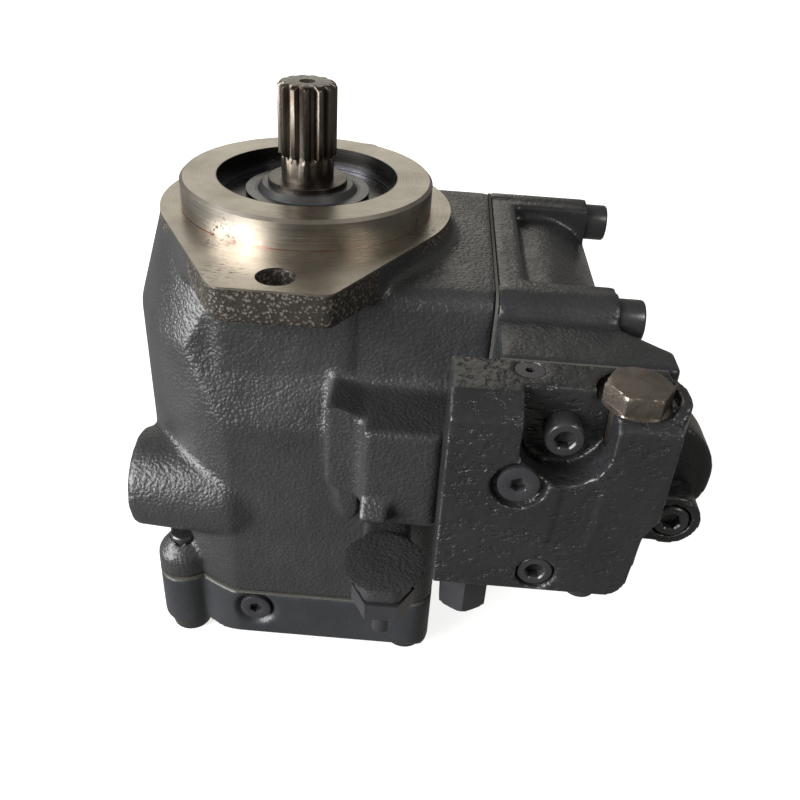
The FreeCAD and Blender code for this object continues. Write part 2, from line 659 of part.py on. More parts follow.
def cover_screw_places():
    """The four end cover screws, as expressions for x and y."""
    return [(x, y) for x in ("-cover_screw_left", "cover_screw_right")
            for y in ("-cover_screw_offset", "cover_screw_offset")]


def servo_screw_places():
    """The four servo housing screws, as expressions for y and z."""
    return [(y, z) for y in ("-servo_screw_offset", "servo_screw_offset")
            for z in ("-servo_screw_top", "-servo_screw_foot")]


def body_section(name, foot, top):
    """The housing's cross-section between two heights: round to the left, square to the right."""
    barrel = cylinder(name + "_barrel", "+Z", ("0", "0", foot), "barrel_radius", f"({top}) - ({foot})")
    flat = box(name + "_flat", ("-barrel_radius", "body_right"),
               ("-body_half_depth", "body_half_depth"), (foot, top))
    left = common(name + "_left", barrel, flat)
    right = plate(name + "_right", "XY_Plane", [
        ("0", "-body_half_depth"), ("body_right", "-body_half_depth"),
        ("body_right", "body_half_depth"), ("0", "body_half_depth")],
        foot, f"({top}) - ({foot})", {1: "body_corner", 2: "body_corner"})
    return fuse(name, [left, right])


def screw_ears(name, foot, height):
    """The bosses round the two left end cover screws, which stand proud of the round side."""
    ears = []
    for index, (x, y) in enumerate(cover_screw_places()[:2]):
        ears.append(cylinder(f"{name}_ear_{index}", "+Z", (x, y, foot), "cover_boss_radius", height))
    return ears


def ear_slopes():
    """The sloped tops of the two ears on the housing."""
    top = depth("body_depth - cover_boss_length")
    return [cone(f"ear_slope_{index}", "+Z", (x, y, top), "cover_boss_radius", "3",
                 "cover_boss_radius") for index, (x, y) in enumerate(cover_screw_places()[:2])]


def main_housing():
    """The cast body with the mounting flange, the neck, the control arm and the drain boss."""
    flange = eared_plate("flange_plate", "ear_half_width", "ear_reach",
                         depth("flange_thickness"), "flange_thickness", "ear_corner")
    flange_disc = cylinder("flange_disc", "+Z", ("0", "0", depth("flange_thickness")),
                           "flange_radius", "flange_thickness")
    pilot = turned("pilot", [
        ("0", "-1"), ("pilot_radius", "-1"), ("pilot_radius", "pilot_height - pilot_chamfer"),
        ("pilot_radius - pilot_chamfer", "pilot_height"), ("0", "pilot_height")])
    pedestal = eared_plate("pedestal", "pedestal_half_width", "pedestal_reach",
                           depth("pedestal_foot"), "pedestal_foot - 1", "4")
    neck_cone = cone("neck_cone", "-Z", ("0", "0", "-1"), "flange_radius - 0.5", "barrel_radius",
                     "neck_depth - 1")
    upper_right = body_section("upper_section", depth("shoulder_depth + 1"), depth("neck_depth"))
    clip = plate("shoulder_clip", "YZ_Plane", [
        ("-pedestal_reach + 2", "0"), ("-pedestal_reach + 2", depth("neck_depth")),
        ("-body_half_depth", depth("shoulder_depth")), ("-body_half_depth", depth("body_depth")),
        ("body_half_depth", depth("body_depth")), ("body_half_depth", depth("shoulder_depth")),
        ("pedestal_reach - 2", depth("neck_depth")), ("pedestal_reach - 2", "0")],
        "-barrel_radius - 5", "2 * barrel_radius + 10")
    shoulder_blank = fuse("shoulder_blank", [neck_cone, upper_right])
    shoulder = common("shoulder", shoulder_blank, clip)
    lower = body_section("lower_body", depth("body_depth"), depth("shoulder_depth"))
    bridge = plate("bridge", "YZ_Plane", [
        ("-bridge_half_depth", depth("bridge_foot_depth")),
        ("bridge_half_depth", depth("bridge_foot_depth")),
        ("bridge_half_depth", depth("bridge_top_depth")),
        ("-bridge_half_depth", depth("bridge_top_depth"))],
        "0", "bridge_right", {2: "bridge_round", 3: "bridge_round"})
    drain_body = cone("drain_body", "+X", ("-drain_face", "-drain_offset", depth("drain_depth")),
                      "drain_face_radius", "drain_root_radius", "drain_face - drain_root")
    drain_tip = cone("drain_tip", "+X", ("-drain_root", "-drain_offset", depth("drain_depth")),
                     "drain_root_radius", "drain_tip_radius", "drain_tip_length")
    arm = box("arm", ("arm_left", "arm_step"), ("-arm_front", "-bridge_half_depth + 6"),
              (depth("arm_foot_depth"), depth("arm_top_depth")))
    arm_root = box("arm_root", ("arm_step - 1", "bridge_right"),
                   ("-pad_front", "-bridge_half_depth + 6"),
                   (depth("arm_foot_depth"), depth("arm_top_depth")))
    lug = plate("lug", "XZ_Plane", [
        ("lug_left", depth("lug_top_depth")), ("lug_left", depth("lug_foot_depth - 3")),
        ("arm_left + 1", depth("lug_foot_depth + 3")),
        ("arm_left + 1", depth("lug_top_depth + 5"))],
        "bridge_half_depth - 6", "lug_front - bridge_half_depth + 6")
    ledge = plate("ledge", "YZ_Plane", [
        ("-arm_front + 2", depth("step_top_depth")), ("-arm_front", depth("step_top_depth")),
        ("-step_front", depth("step_edge_depth")), ("-step_front", depth("step_edge_depth + 2")),
        ("-arm_front + 2", depth("step_edge_depth + 2"))],
        "arm_left", "step_right - arm_left")
    gusset = plate("gusset", "XZ_Plane", [
        ("lug_left", depth("lug_foot_depth - 6")), ("arm_left + 1", depth("lug_foot_depth - 6")),
        ("arm_left - 3", depth("disc_foot_depth - 4")),
        ("lug_left + 6", depth("disc_foot_depth - 4"))],
        "body_half_depth - 4", "10")
    disc = cylinder("disc", "+Z",
                    ("disc_across", "-disc_front", depth("disc_top_depth + disc_thickness")),
                    "disc_radius", "disc_thickness")
    disc_boss = hexagon("disc_boss", "+Z", ("disc_across", "-disc_front", depth("disc_foot_depth")),
                        "adjuster_flats", "disc_foot_depth - disc_top_depth - 0.5")
    disc_web = box("disc_web", ("disc_across - 0.6 * disc_radius", "disc_across + 0.6 * disc_radius"),
                   ("-disc_front", "-bridge_half_depth"),
                   (depth("disc_foot_depth"), depth("disc_top_depth + 2")))
    blank = fuse("main_housing_blank", [
        flange, flange_disc, pilot, pedestal, shoulder, lower, bridge, drain_body, drain_tip,
        arm, arm_root, lug, ledge, gusset, disc, disc_boss, disc_web] + ear_slopes()
        + screw_ears("housing", depth("body_depth"), "cover_boss_length"))

    cavity = cylinder("cavity", "+Z", ("0", "0", depth("body_depth + 1")), "cavity_radius",
                      "body_depth + 1 - cavity_step_depth")
    cavity_neck = cylinder("cavity_neck", "+Z", ("0", "0", depth("body_depth + 1")),
                           "cavity_neck_radius", "body_depth + 1 - cavity_top_depth")
    hollow = fuse("hollow", [cavity, cavity_neck])
    seats = []
    for side, left, right in (("left", "-cradle_outer", "-cradle_inner"),
                              ("right", "cradle_inner", "cradle_outer")):
        seats.append(box(f"cradle_block_{side}", (left, right),
                         ("-shell_half_width - 4", "shell_half_width + 4"),
                         (depth("tilt_depth - 12"), depth("cavity_top_depth - 1"))))
    seat_round = cylinder("cradle_round", "+X", ("-cradle_outer - 1", "0", depth("tilt_depth")),
                          "cradle_radius + shell_thickness", "2 * cradle_outer + 2")
    seat_pair = fuse("cradle_blocks", seats)
    cradles = cut("cradles", seat_pair, [seat_round])
    room = cut("room", hollow, [cradles])
    tools = [room]
    tools.append(turned("nose_bore", [
        ("0", "pilot_height + 1"), ("carrier_radius", "pilot_height + 1"),
        ("carrier_radius", "carrier_top + ring_section + 0.1"),
        ("carrier_radius + 1.5", "carrier_top + ring_section + 0.1"),
        ("carrier_radius + 1.5", "carrier_top + 0.1"),
        ("carrier_radius", "carrier_top + 0.1"),
        ("carrier_radius", depth("carrier_foot_depth")),
        ("bearing_radius", depth("carrier_foot_depth")),
        ("bearing_radius", depth("bearing_depth + bearing_width")),
        ("shoulder_radius + 3.5", depth("bearing_depth + bearing_width")),
        ("shoulder_radius + 3.5", depth("cavity_top_depth + 1")),
        ("0", depth("cavity_top_depth + 1"))]))
    for side, y in (("front", "-mount_offset"), ("back", "mount_offset")):
        tools.append(cylinder(f"mount_hole_{side}", "-Z", ("0", y, "1"), "mount_hole_radius",
                              "flange_thickness + 2"))
    tools.append(box("arm_window", ("cradle_outer", "bridge_right + 1"),
                     ("-window_half_width", "window_half_width"),
                     (depth("window_foot_depth"), depth("window_top_depth"))))
    for index, (x, y) in enumerate(cover_screw_places()):
        tools.append(cylinder(f"cover_screw_hole_{index}", "+Z", (x, y, depth("body_depth + 1")),
                              "m12_shank + screw_gap",
                              "cover_screw_length - cover_end_depth + body_depth + cover_screw_sink + 3"))
    for index, (y, z) in enumerate(servo_screw_places()):
        tools.append(cylinder(f"servo_screw_hole_{index}", "-X", ("bridge_right + 1", y, z),
                              "m10_shank + screw_gap", "servo_screw_grip + 3"))
    tools.append(cylinder("drain_face_cut", "+X",
                          ("-drain_face - 1", "-drain_offset", depth("drain_depth")),
                          "drain_spotface_radius", "drain_spotface_depth + 1"))
    tools.append(cylinder("drain_port", "+X",
                          ("-drain_face", "-drain_offset", depth("drain_depth")),
                          "drain_port_radius", "drain_spotface_depth + drain_port_length"))
    tools.append(cylinder("drain_passage", "+X",
                          ("-drain_face", "-drain_offset", depth("drain_depth")),
                          "drain_passage_radius", "drain_face - 10"))
    tools.append(cylinder("adjuster_hole", "+Z",
                          ("disc_across", "-disc_front", depth("disc_foot_depth + 1")),
                          "adjuster_thread + screw_gap", "adjuster_length + 1"))
    return cut("main_housing", blank, tools)


def end_cover():
    """The rear cover with the main ports, the rear bearing pocket and the valve plate's seat."""
    top = depth("body_depth + gasket_thickness")
    blank = body_section("cover_section", depth("cover_end_depth"), top)
    seat = cylinder("valve_seat", "+Z", ("0", "0", depth("cover_end_depth - 5")),
                    "cavity_radius - run_gap",
                    "cover_end_depth - 5 - valve_face_depth - valve_plate_thickness")
    ears = screw_ears("cover", depth("cover_end_depth"), "cover_end_depth - body_depth - gasket_thickness")
    whole = fuse("cover_blank", [blank, seat] + ears)
    tools = []
    for side, y in (("front", "-body_half_depth"), ("back", "body_half_depth")):
        wedge = box(f"cover_wedge_{side}", ("0", "2 * barrel_radius"),
                    ("0", "cover_chamfer * sqrt(2)"), ("0", "cover_chamfer * sqrt(2)"))
        turn = FreeCAD.Rotation(V(1, 0, 0), 45)
        foot = V(-number("barrel_radius"), number(y), -number("cover_end_depth + cover_chamfer"))
        wedge.Placement = FreeCAD.Placement(foot, turn)
        bind(wedge, Placement__Base__x="-barrel_radius", Placement__Base__y=y,
             Placement__Base__z=depth("cover_end_depth + cover_chamfer"))
        tools.append(wedge)
    tools += [cylinder("rear_pocket", "+Z", ("0", "0", depth("tail_end_depth + 1")),
                      "rear_bearing_radius", "tail_end_depth - valve_face_depth")]
    for side, sign, middle in (("left", "-", 180), ("right", "", 0)):
        tools.append(sector(f"cover_kidney_{side}", "kidney_inner", "kidney_outer", middle,
                            "kidney_sweep", depth("cover_end_depth - port_length"),
                            "cover_end_depth - port_length - valve_face_depth"))
        x = f"{sign}port_offset"
        tools.append(cylinder(f"port_{side}", "+Z", (x, "0", depth("cover_end_depth + 1")),
                              "port_radius", "port_length + 1"))
        for index in range(4):
            across = "+" if index % 2 else "-"
            along = "+" if index // 2 else "-"
            tools.append(cylinder(f"port_thread_{side}_{index}", "+Z",
                                  (f"{x} {across} port_bolt_short / 2",
                                   f"{along}port_bolt_long / 2", depth("cover_end_depth + 1")),
                                  "port_thread_radius", "port_thread_length + 1"))
    for index, (x, y) in enumerate(cover_screw_places()):
        tools.append(cylinder(f"cover_hole_{index}", "+Z", (x, y, depth("cover_end_depth + 1")),
                              "m12_shank + screw_gap", "cover_end_depth - body_depth + 2"))
        tools.append(cylinder(f"cover_sink_{index}", "+Z", (x, y, depth("cover_end_depth + 1")),
                              "m12_head + 0.5", "cover_screw_sink + 1"))
    seat_at = ("-cover_plug_x", "-body_half_depth + plug_sink", depth("cover_plug_depth"))
    tools += plug_seat("cover_plug_seat", "+Y", seat_at)
    tools.append(cylinder("valve_pin_hole", "-Z",
                          ("0", "kidney_outer + 2", depth("valve_face_depth")), "2.02", "12"))
    return cut("end_cover", whole, tools)


def end_cover_gasket():
    """The paper gasket between the housing and the end cover."""
    foot = depth("body_depth + gasket_thickness")
    section = body_section("gasket_section", foot, depth("body_depth"))
    sheet_body = fuse("gasket_blank", [section] + screw_ears("gasket", foot, "gasket_thickness"))
    tools = [cylinder("gasket_bore", "+Z", ("0", "0", depth("body_depth + 5")), "cavity_radius", "10")]
    for index, (x, y) in enumerate(cover_screw_places()):
        tools.append(cylinder(f"gasket_hole_{index}", "+Z", (x, y, depth("body_depth + 5")),
                              "m12_shank + screw_gap", "10"))
    return cut("end_cover_gasket", sheet_body, tools)


# ---------------------------------------------------------------- shaft, bearings and seal

def drive_shaft():
    """The shaft with its outer splines, seal journal, bearing seats and drive teeth."""
    stem_foot = depth("hub_top_depth")
    drive_foot = depth("spring_room_top_depth")
    shoulder_top = depth("bearing_depth + bearing_width")
    shoulder_foot = depth("bearing_depth + bearing_width + shoulder_length")
    blank = turned("shaft_blank", [
        ("0", "spline_top"), ("spline_radius - spline_chamfer", "spline_top"),
        ("spline_radius", "spline_top - spline_chamfer"), ("spline_radius", "spline_foot"),
        ("neck_radius", "spline_foot - 1.5"), ("neck_radius", "collar_top"),
        ("collar_radius - 1", "collar_top"), ("collar_radius", "collar_top - 1"),
        ("collar_radius", depth("bearing_depth - 0.5")),
        ("journal_radius", depth("bearing_depth - 0.5")), ("journal_radius", shoulder_top),
        ("shoulder_radius", shoulder_top), ("shoulder_radius", shoulder_foot),
        ("stem_radius", shoulder_foot), ("stem_radius", depth("hub_top_depth - 6")),
        ("drive_radius", depth("hub_top_depth - 6")), ("drive_radius", drive_foot),
        ("tail_radius", drive_foot), ("tail_radius", depth("tail_end_depth - 1")),
        ("tail_radius - 1", depth("tail_end_depth")), ("0", depth("tail_end_depth"))])
    teeth = []
    for index in range(int(number("drive_teeth"))):
        tooth = doc.addObject("Part::Box", f"drive_tooth_{index}")
        bind(tooth, Length="drive_tooth_radius", Width="drive_tooth_width")
        bind(tooth, Height="spring_room_top_depth - hub_top_depth + 7")
        turn = FreeCAD.Rotation(V(0, 0, 1), index * 360 / number("drive_teeth"))
        half = turn.multVec(V(0, -number("drive_tooth_width") / 2, 0))
        foot = V(half.x, half.y, number(drive_foot))
        tooth.Placement = FreeCAD.Placement(foot, turn)
        teeth.append(tooth)
    whole = fuse("shaft_with_teeth", [blank] + teeth)
    tools = [cylinder("shaft_centre_hole", "-Z", ("0", "0", "spline_top + 1"),
                      "centre_hole_radius", "7")]
    count = int(number("spline_count"))
    for index in range(count):
        groove = plate(f"spline_groove_{index}", "XY_Plane", [
            ("spline_root_radius", "-1.05"), ("spline_radius + 1", "-1.9"),
            ("spline_radius + 1", "1.9"), ("spline_root_radius", "1.05")],
            "spline_foot + 2", "spline_top - spline_foot")
        groove.Placement = FreeCAD.Placement(
            V(0, 0, 0), FreeCAD.Rotation(V(0, 0, 1), (index + 0.5) * 360 / count))
        tools.append(groove)
    return cut("drive_shaft", whole, tools)


def roller_bearing(prefix, top, width, outer, track_out, track_in, bore, rollers, length):
    """Nodes of a cylindrical roller bearing; bore is None where the rollers run on the shaft."""
    foot = f"{top} - ({width})"
    nodes = [ring(f"{prefix}_outer_ring", track_out, outer, top, foot)]
    if bore:
        nodes.append(ring(f"{prefix}_inner_ring", bore, track_in, top, foot))
    middle = f"(({track_out}) + ({track_in})) / 2"
    radius = f"(({track_out}) - ({track_in})) / 2 - run_gap"
    roller_foot = f"{top} - ({width}) / 2 - ({length}) / 2"
    count = int(number(rollers))
    pieces = []
    pockets = []
    for index in range(count):
        x, y = around(middle, index, rollers)
        pieces.append(cylinder(f"{prefix}_roller_{index}", "+Z", (x, y, roller_foot), radius, length))
        pockets.append(cylinder(f"{prefix}_pocket_{index}", "+Z", (x, y, f"{roller_foot} - 0.2"),
                                f"{radius} + 0.15", f"{length} + 0.4"))
    nodes.append(group(f"{prefix}_rollers", pieces))
    cage_blank = ring(f"{prefix}_cage_blank", f"{middle} - 1.3", f"{middle} + 1.3",
                      f"{roller_foot} + ({length}) + 2", f"{roller_foot} - 2")
    nodes.append(cut(f"{prefix}_cage", cage_blank, pockets))
    return nodes


def seal_carrier():
    """The ring in the pilot's recess that holds the shaft seal."""
    foot = depth("carrier_foot_depth")
    groove_low = "carrier_top - 6.2"
    groove_high = "carrier_top - 3.4"
    groove_radius = "carrier_radius - seat_gap - 2 * cord_radius"
    blank = turned("seal_carrier", [
        ("seal_radius", "carrier_top"), ("carrier_radius - 3.5", "carrier_top"),
        ("carrier_radius - seat_gap", "carrier_top"),
        ("carrier_radius - seat_gap", groove_high), (groove_radius, groove_high),
        (groove_radius, groove_low), ("carrier_radius - seat_gap", groove_low),
        ("carrier_radius - seat_gap", foot), ("seal_bore + 1", foot),
        ("seal_bore + 1", "seal_top - seal_height - 0.1"),
        ("seal_radius", "seal_top - seal_height - 0.1")])
    return blank


def shaft_seal():
    """The seal's metal case and its rubber lips."""
    outer = "seal_radius - seat_gap"
    case = turned("shaft_seal_case", [
        (outer, "seal_top"), ("seal_bore", "seal_top"), ("seal_bore", "seal_top - seal_wall"),
        (f"{outer} - seal_wall", "seal_top - seal_wall"),
        (f"{outer} - seal_wall", "seal_top - seal_height"), (outer, "seal_top - seal_height")])
    inner = "collar_radius + run_gap"
    lip = turned("shaft_seal_lip", [
        (f"{outer} - seal_wall", "seal_top - seal_wall"), ("seal_bore", "seal_top - seal_wall"),
        ("seal_bore", "seal_top"), ("seal_bore - 1.2", "seal_top"),
        (f"{inner} + 2.2", "lip_top"), (inner, "lip_top"), (inner, "lip_top - 1.2"),
        (f"{inner} + 1.6", "seal_top - 1"), (f"{inner} + 1.6", "seal_top - 3"),
        (inner, "seal_top - 4.6"), (inner, "seal_top - 5.6"),
        (f"{inner} + 3", "seal_top - 3.6"), (f"{outer} - seal_wall", "seal_top - 3.6")])
    return case, lip


def carrier_rings():
    """The snap ring above the seal carrier and the O-ring in its groove."""
    top = "carrier_top + 0.1 + ring_section"
    snap = turned("carrier_snap_ring", [
        ("carrier_radius - 2.2", f"{top} - 0.05"), ("carrier_radius + 1.4", f"{top} - 0.05"),
        ("carrier_radius + 1.4", "carrier_top + 0.15"),
        ("carrier_radius - 2.2", "carrier_top + 0.15")])
    gap = box("snap_gap", ("carrier_radius - 5", "carrier_radius + 5"), ("-3", "3"), ("0", "10"))
    open_ring = cut("carrier_retaining_ring", snap, [gap])
    cord = torus("carrier_o_ring", ("0", "0", "carrier_top - 4.8"),
                 "carrier_radius - cord_radius - 0.03", "cord_radius - 0.02")
    return open_ring, cord


# ---------------------------------------------------------------- rotating group

def cylinder_block():
    """The block with its nine bores, spring room and drive slots."""
    foot = depth("valve_face_depth - run_gap")
    blank = turned("block_blank", [
        ("drive_radius + run_gap", depth("hub_top_depth")), ("hub_radius", depth("hub_top_depth")),
        ("hub_radius", depth("block_top_depth")), ("block_radius - 1", depth("block_top_depth")),
        ("block_radius", depth("block_top_depth + 1")), ("block_radius", foot),
        ("spring_room_radius", foot), ("spring_room_radius", depth("snap_depth + snap_thickness")),
        ("spring_room_radius + snap_groove", depth("snap_depth + snap_thickness")),
        ("spring_room_radius + snap_groove", depth("snap_depth")),
        ("spring_room_radius", depth("snap_depth")),
        ("spring_room_radius", depth("spring_room_top_depth")),
        ("drive_radius + run_gap", depth("spring_room_top_depth"))])
    tools = []
    for index in range(int(number("piston_count"))):
        x, y = around("piston_pitch", index, "piston_count", 90)
        port_top = "block_port_length"
        tools.append(cylinder(f"cylinder_bore_{index}", "+Z",
                              (x, y, depth(f"valve_face_depth - {port_top}")),
                              "piston_radius + run_gap",
                              f"valve_face_depth - {port_top} - block_top_depth + 1"))
        tools.append(cylinder(f"cylinder_port_{index}", "+Z", (x, y, depth("valve_face_depth + 1")),
                              "block_port_radius", f"{port_top} + 2"))
    for index in range(int(number("drive_teeth"))):
        slot = doc.addObject("Part::Box", f"drive_slot_{index}")
        bind(slot, Length="drive_tooth_radius + run_gap", Width="drive_tooth_width + 0.1")
        bind(slot, Height="spring_room_top_depth - hub_top_depth + 12")
        turn = FreeCAD.Rotation(V(0, 0, 1), index * 360 / number("drive_teeth"))
        half = turn.multVec(V(0, -number("drive_tooth_width") / 2 - 0.05, 0))
        slot.Placement = FreeCAD.Placement(
            V(half.x, half.y, number(depth("spring_room_top_depth + 2"))), turn)
        tools.append(slot)
    for index in range(3):
        x, y = around("pin_pitch", index, "3", 18)
        tools.append(cylinder(f"pin_hole_{index}", "+Z", (x, y, depth("spring_room_top_depth + 1")),
                              "pin_radius + run_gap", "spring_room_top_depth - hub_top_depth + 5"))
    return cut("cylinder_block", blank, tools)


def piston(index):
    """One piston with its ball, at mid stroke."""
    x, y = around("piston_pitch", index, "piston_count", 90)
    body = turned(f"piston_blank_{index}", [
        ("0", depth("tilt_depth")), ("ball_neck_radius", depth("tilt_depth")),
        ("ball_neck_radius", depth("piston_head_depth - 3")),
        ("piston_radius", depth("piston_head_depth")),
        ("piston_radius", depth("piston_foot_depth")),
        ("piston_hole_radius", depth("piston_foot_depth")),
        ("piston_hole_radius", depth("piston_foot_depth - piston_hole_length")),
        ("0", depth("piston_foot_depth - piston_hole_length"))])
    bind(body, Placement__Base__x=x, Placement__Base__y=y)
    ball = sphere(f"piston_ball_{index}", (x, y, depth("tilt_depth")), "ball_radius")
    return fuse(f"piston_{index + 1}", [body, ball])


def slipper(index):
    """One slipper, crimped round its piston's ball."""
    x, y = around("piston_pitch", index, "piston_count", 90)
    face = depth("tilt_depth - slipper_thickness + run_gap")
    neck_top = depth("tilt_depth - slipper_thickness + slipper_foot_height")
    foot = depth("tilt_depth + slipper_wrap")
    body = turned(f"slipper_blank_{index}", [
        ("1", face), ("slipper_radius - 2.5", face), ("slipper_radius - 2.5", f"{face} - 0.6"),
        ("slipper_radius - 1.2", f"{face} - 0.6"), ("slipper_radius - 1.2", face),
        ("slipper_radius", face), ("slipper_radius", neck_top), ("slipper_neck_radius", neck_top),
        ("slipper_neck_radius", foot), ("1", foot)])
    bind(body, Placement__Base__x=x, Placement__Base__y=y)
    socket = sphere(f"slipper_socket_{index}", (x, y, depth("tilt_depth")), "ball_radius + run_gap")
    return cut(f"slipper_body_{index}", body, [socket])


def slipper_retainer():
    """The plate that holds the slippers on the swashplate."""
    top = depth("tilt_depth - slipper_thickness + slipper_foot_height + 0.1")
    blank = cylinder("retainer_blank", "-Z", ("0", "0", top), "retainer_radius", "retainer_thickness")
    tools = [cylinder("retainer_bore_tool", "-Z", ("0", "0", f"{top} + 1"), "retainer_bore",
                      "retainer_thickness + 2")]
    for index in range(int(number("piston_count"))):
        x, y = around("piston_pitch", index, "piston_count", 90)
        tools.append(cylinder(f"retainer_hole_{index}", "-Z", (x, y, f"{top} + 1"),
                              "slipper_neck_radius + 0.4", "retainer_thickness + 2"))
    return cut("slipper_retainer", blank, tools)


def ball_guide():
    """The domed ring between the hold-down pins and the retainer."""
    top = depth("tilt_depth - slipper_thickness + slipper_foot_height + 0.1 + retainer_thickness + 0.05")
    return turned("ball_guide", [
        ("stem_radius + 0.3", top), ("guide_radius - 1.5", top), ("guide_radius", f"{top} - 3"),
        ("guide_radius", f"{top} - 8"), ("guide_radius - 1.5", depth("guide_foot_depth")),
        ("stem_radius + 0.3", depth("guide_foot_depth"))])


def hold_down():
    """The pins, washers, spring and snap ring that press the block and the retainer apart."""
    pins = []
    for index in range(3):
        x, y = around("pin_pitch", index, "3", 18)
        pins.append(cylinder(f"hold_down_pin_{index}", "+Z",
                             (x, y, depth("spring_room_top_depth")), "pin_radius",
                             "spring_room_top_depth - guide_foot_depth - seat_gap"))
    front = ring("washer_front", "tail_radius + 1", "spring_room_radius - 0.3",
                 depth("spring_room_top_depth + seat_gap"),
                 depth("spring_room_top_depth + washer_thickness"))
    rear = ring("washer_rear", "tail_radius + 1", "spring_room_radius - 0.3",
                depth("snap_depth - washer_thickness - seat_gap"), depth("snap_depth - seat_gap"))
    snap = ring("block_snap_ring", "spring_room_radius - 3", "spring_room_radius + snap_groove - 0.1",
                depth("snap_depth + seat_gap"), depth("snap_depth + snap_thickness - seat_gap"))
    spring = coil("block_spring", "-Z",
                  ("0", "0", depth("spring_room_top_depth + washer_thickness + seat_gap")),
                  "block_spring_coil", "block_spring_wire",
                  "snap_depth - 2 * washer_thickness - spring_room_top_depth - 3 * seat_gap",
                  "block_spring_turns")
    return [group("hold_down_pins", pins), group("spring_washers", [front, rear]), snap, spring]


def valve_plate():
    """The plate with two kidney slots, and the pin that stops it turning."""
    foot = depth("valve_face_depth + valve_plate_thickness")
    blank = ring("valve_plate_blank", "tail_radius + 5", "valve_plate_radius",
                 depth("valve_face_depth"), foot)
    tools = []
    for side, middle in (("left", 180), ("right", 0)):
        tools.append(sector(f"plate_kidney_{side}", "kidney_inner", "kidney_outer", middle,
                            "kidney_sweep", depth("valve_face_depth + valve_plate_thickness + 1"),
                            "valve_plate_thickness + 2"))
    tools.append(cylinder("plate_pin_hole", "-Z",
                          ("0", "kidney_outer + 2", depth("valve_face_depth - 1")),
                          "2.02", "valve_plate_thickness + 2"))
    pin = cylinder("valve_plate_pin", "-Z", ("0", "kidney_outer + 2", depth("valve_face_depth + 0.5")),
                   "2", "valve_plate_thickness + 5")
    return cut("valve_plate", blank, tools), pin


def swashplate():
    """The tilting plate at neutral, with its curved backs and its arm to the servo piston."""
    face = depth("tilt_depth - slipper_thickness")
    disc_piece = cylinder("swash_disc", "+Z", ("0", "0", face), "swash_radius", "swash_rim")
    backs = []
    for side, left in (("left", "-cradle_outer"), ("right", "cradle_inner")):
        backs.append(cylinder(f"swash_back_{side}", "+X", (left, "0", depth("tilt_depth")),
                              "cradle_radius - run_gap", "cradle_outer - cradle_inner"))
    back_pair = fuse("swash_backs", backs)
    upper = box("swash_back_half", ("-cradle_outer - 1", "cradle_outer + 1"),
                ("-shell_half_width - 4", "shell_half_width + 4"),
                (face, depth("tilt_depth - cradle_radius - 1")))
    curved = common("swash_curved", back_pair, upper)
    lever = box("swash_lever", ("cradle_outer + 0.5", "lever_reach"),
                ("-lever_half_width", "lever_half_width"),
                (depth("servo_depth + lever_half_height"), depth("servo_depth - lever_half_height")))
    lever_root = box("swash_lever_root", ("cradle_outer - 8", "swash_radius - 2"),
                     ("-lever_half_width", "lever_half_width"), (face, depth("servo_depth")))
    blank = fuse("swash_blank", [disc_piece, curved, lever, lever_root])
    slot = box("swash_slot", ("-swash_hole_x", "swash_hole_x"), ("-swash_hole_y", "swash_hole_y"),
               (f"{face} - 1", depth("cavity_top_depth")))
    return cut("swashplate", blank, [slot])


def cradle_bearing(side, left):
    """One curved bearing shell between the swashplate and the housing."""
    width = "cradle_outer - cradle_inner - 1"
    start = (f"{left} + 0.5", "0", depth("tilt_depth"))
    outer = cylinder(f"shell_outer_{side}", "+X", start, "cradle_radius + shell_thickness - seat_gap",
                     width)
    inner = cylinder(f"shell_inner_{side}", "+X", (left, "0", depth("tilt_depth")), "cradle_radius",
                     "cradle_outer - cradle_inner")
    whole = cut(f"shell_whole_{side}", outer, [inner])
    keep = box(f"shell_keep_{side}", (left, f"{left} + cradle_outer - cradle_inner"),
               ("-shell_half_width", "shell_half_width"),
               (depth("tilt_depth - 15"), depth("tilt_depth - cradle_radius - 9")))
    return common(f"cradle_shell_{side}", whole, keep)


# ---------------------------------------------------------------- servo housing

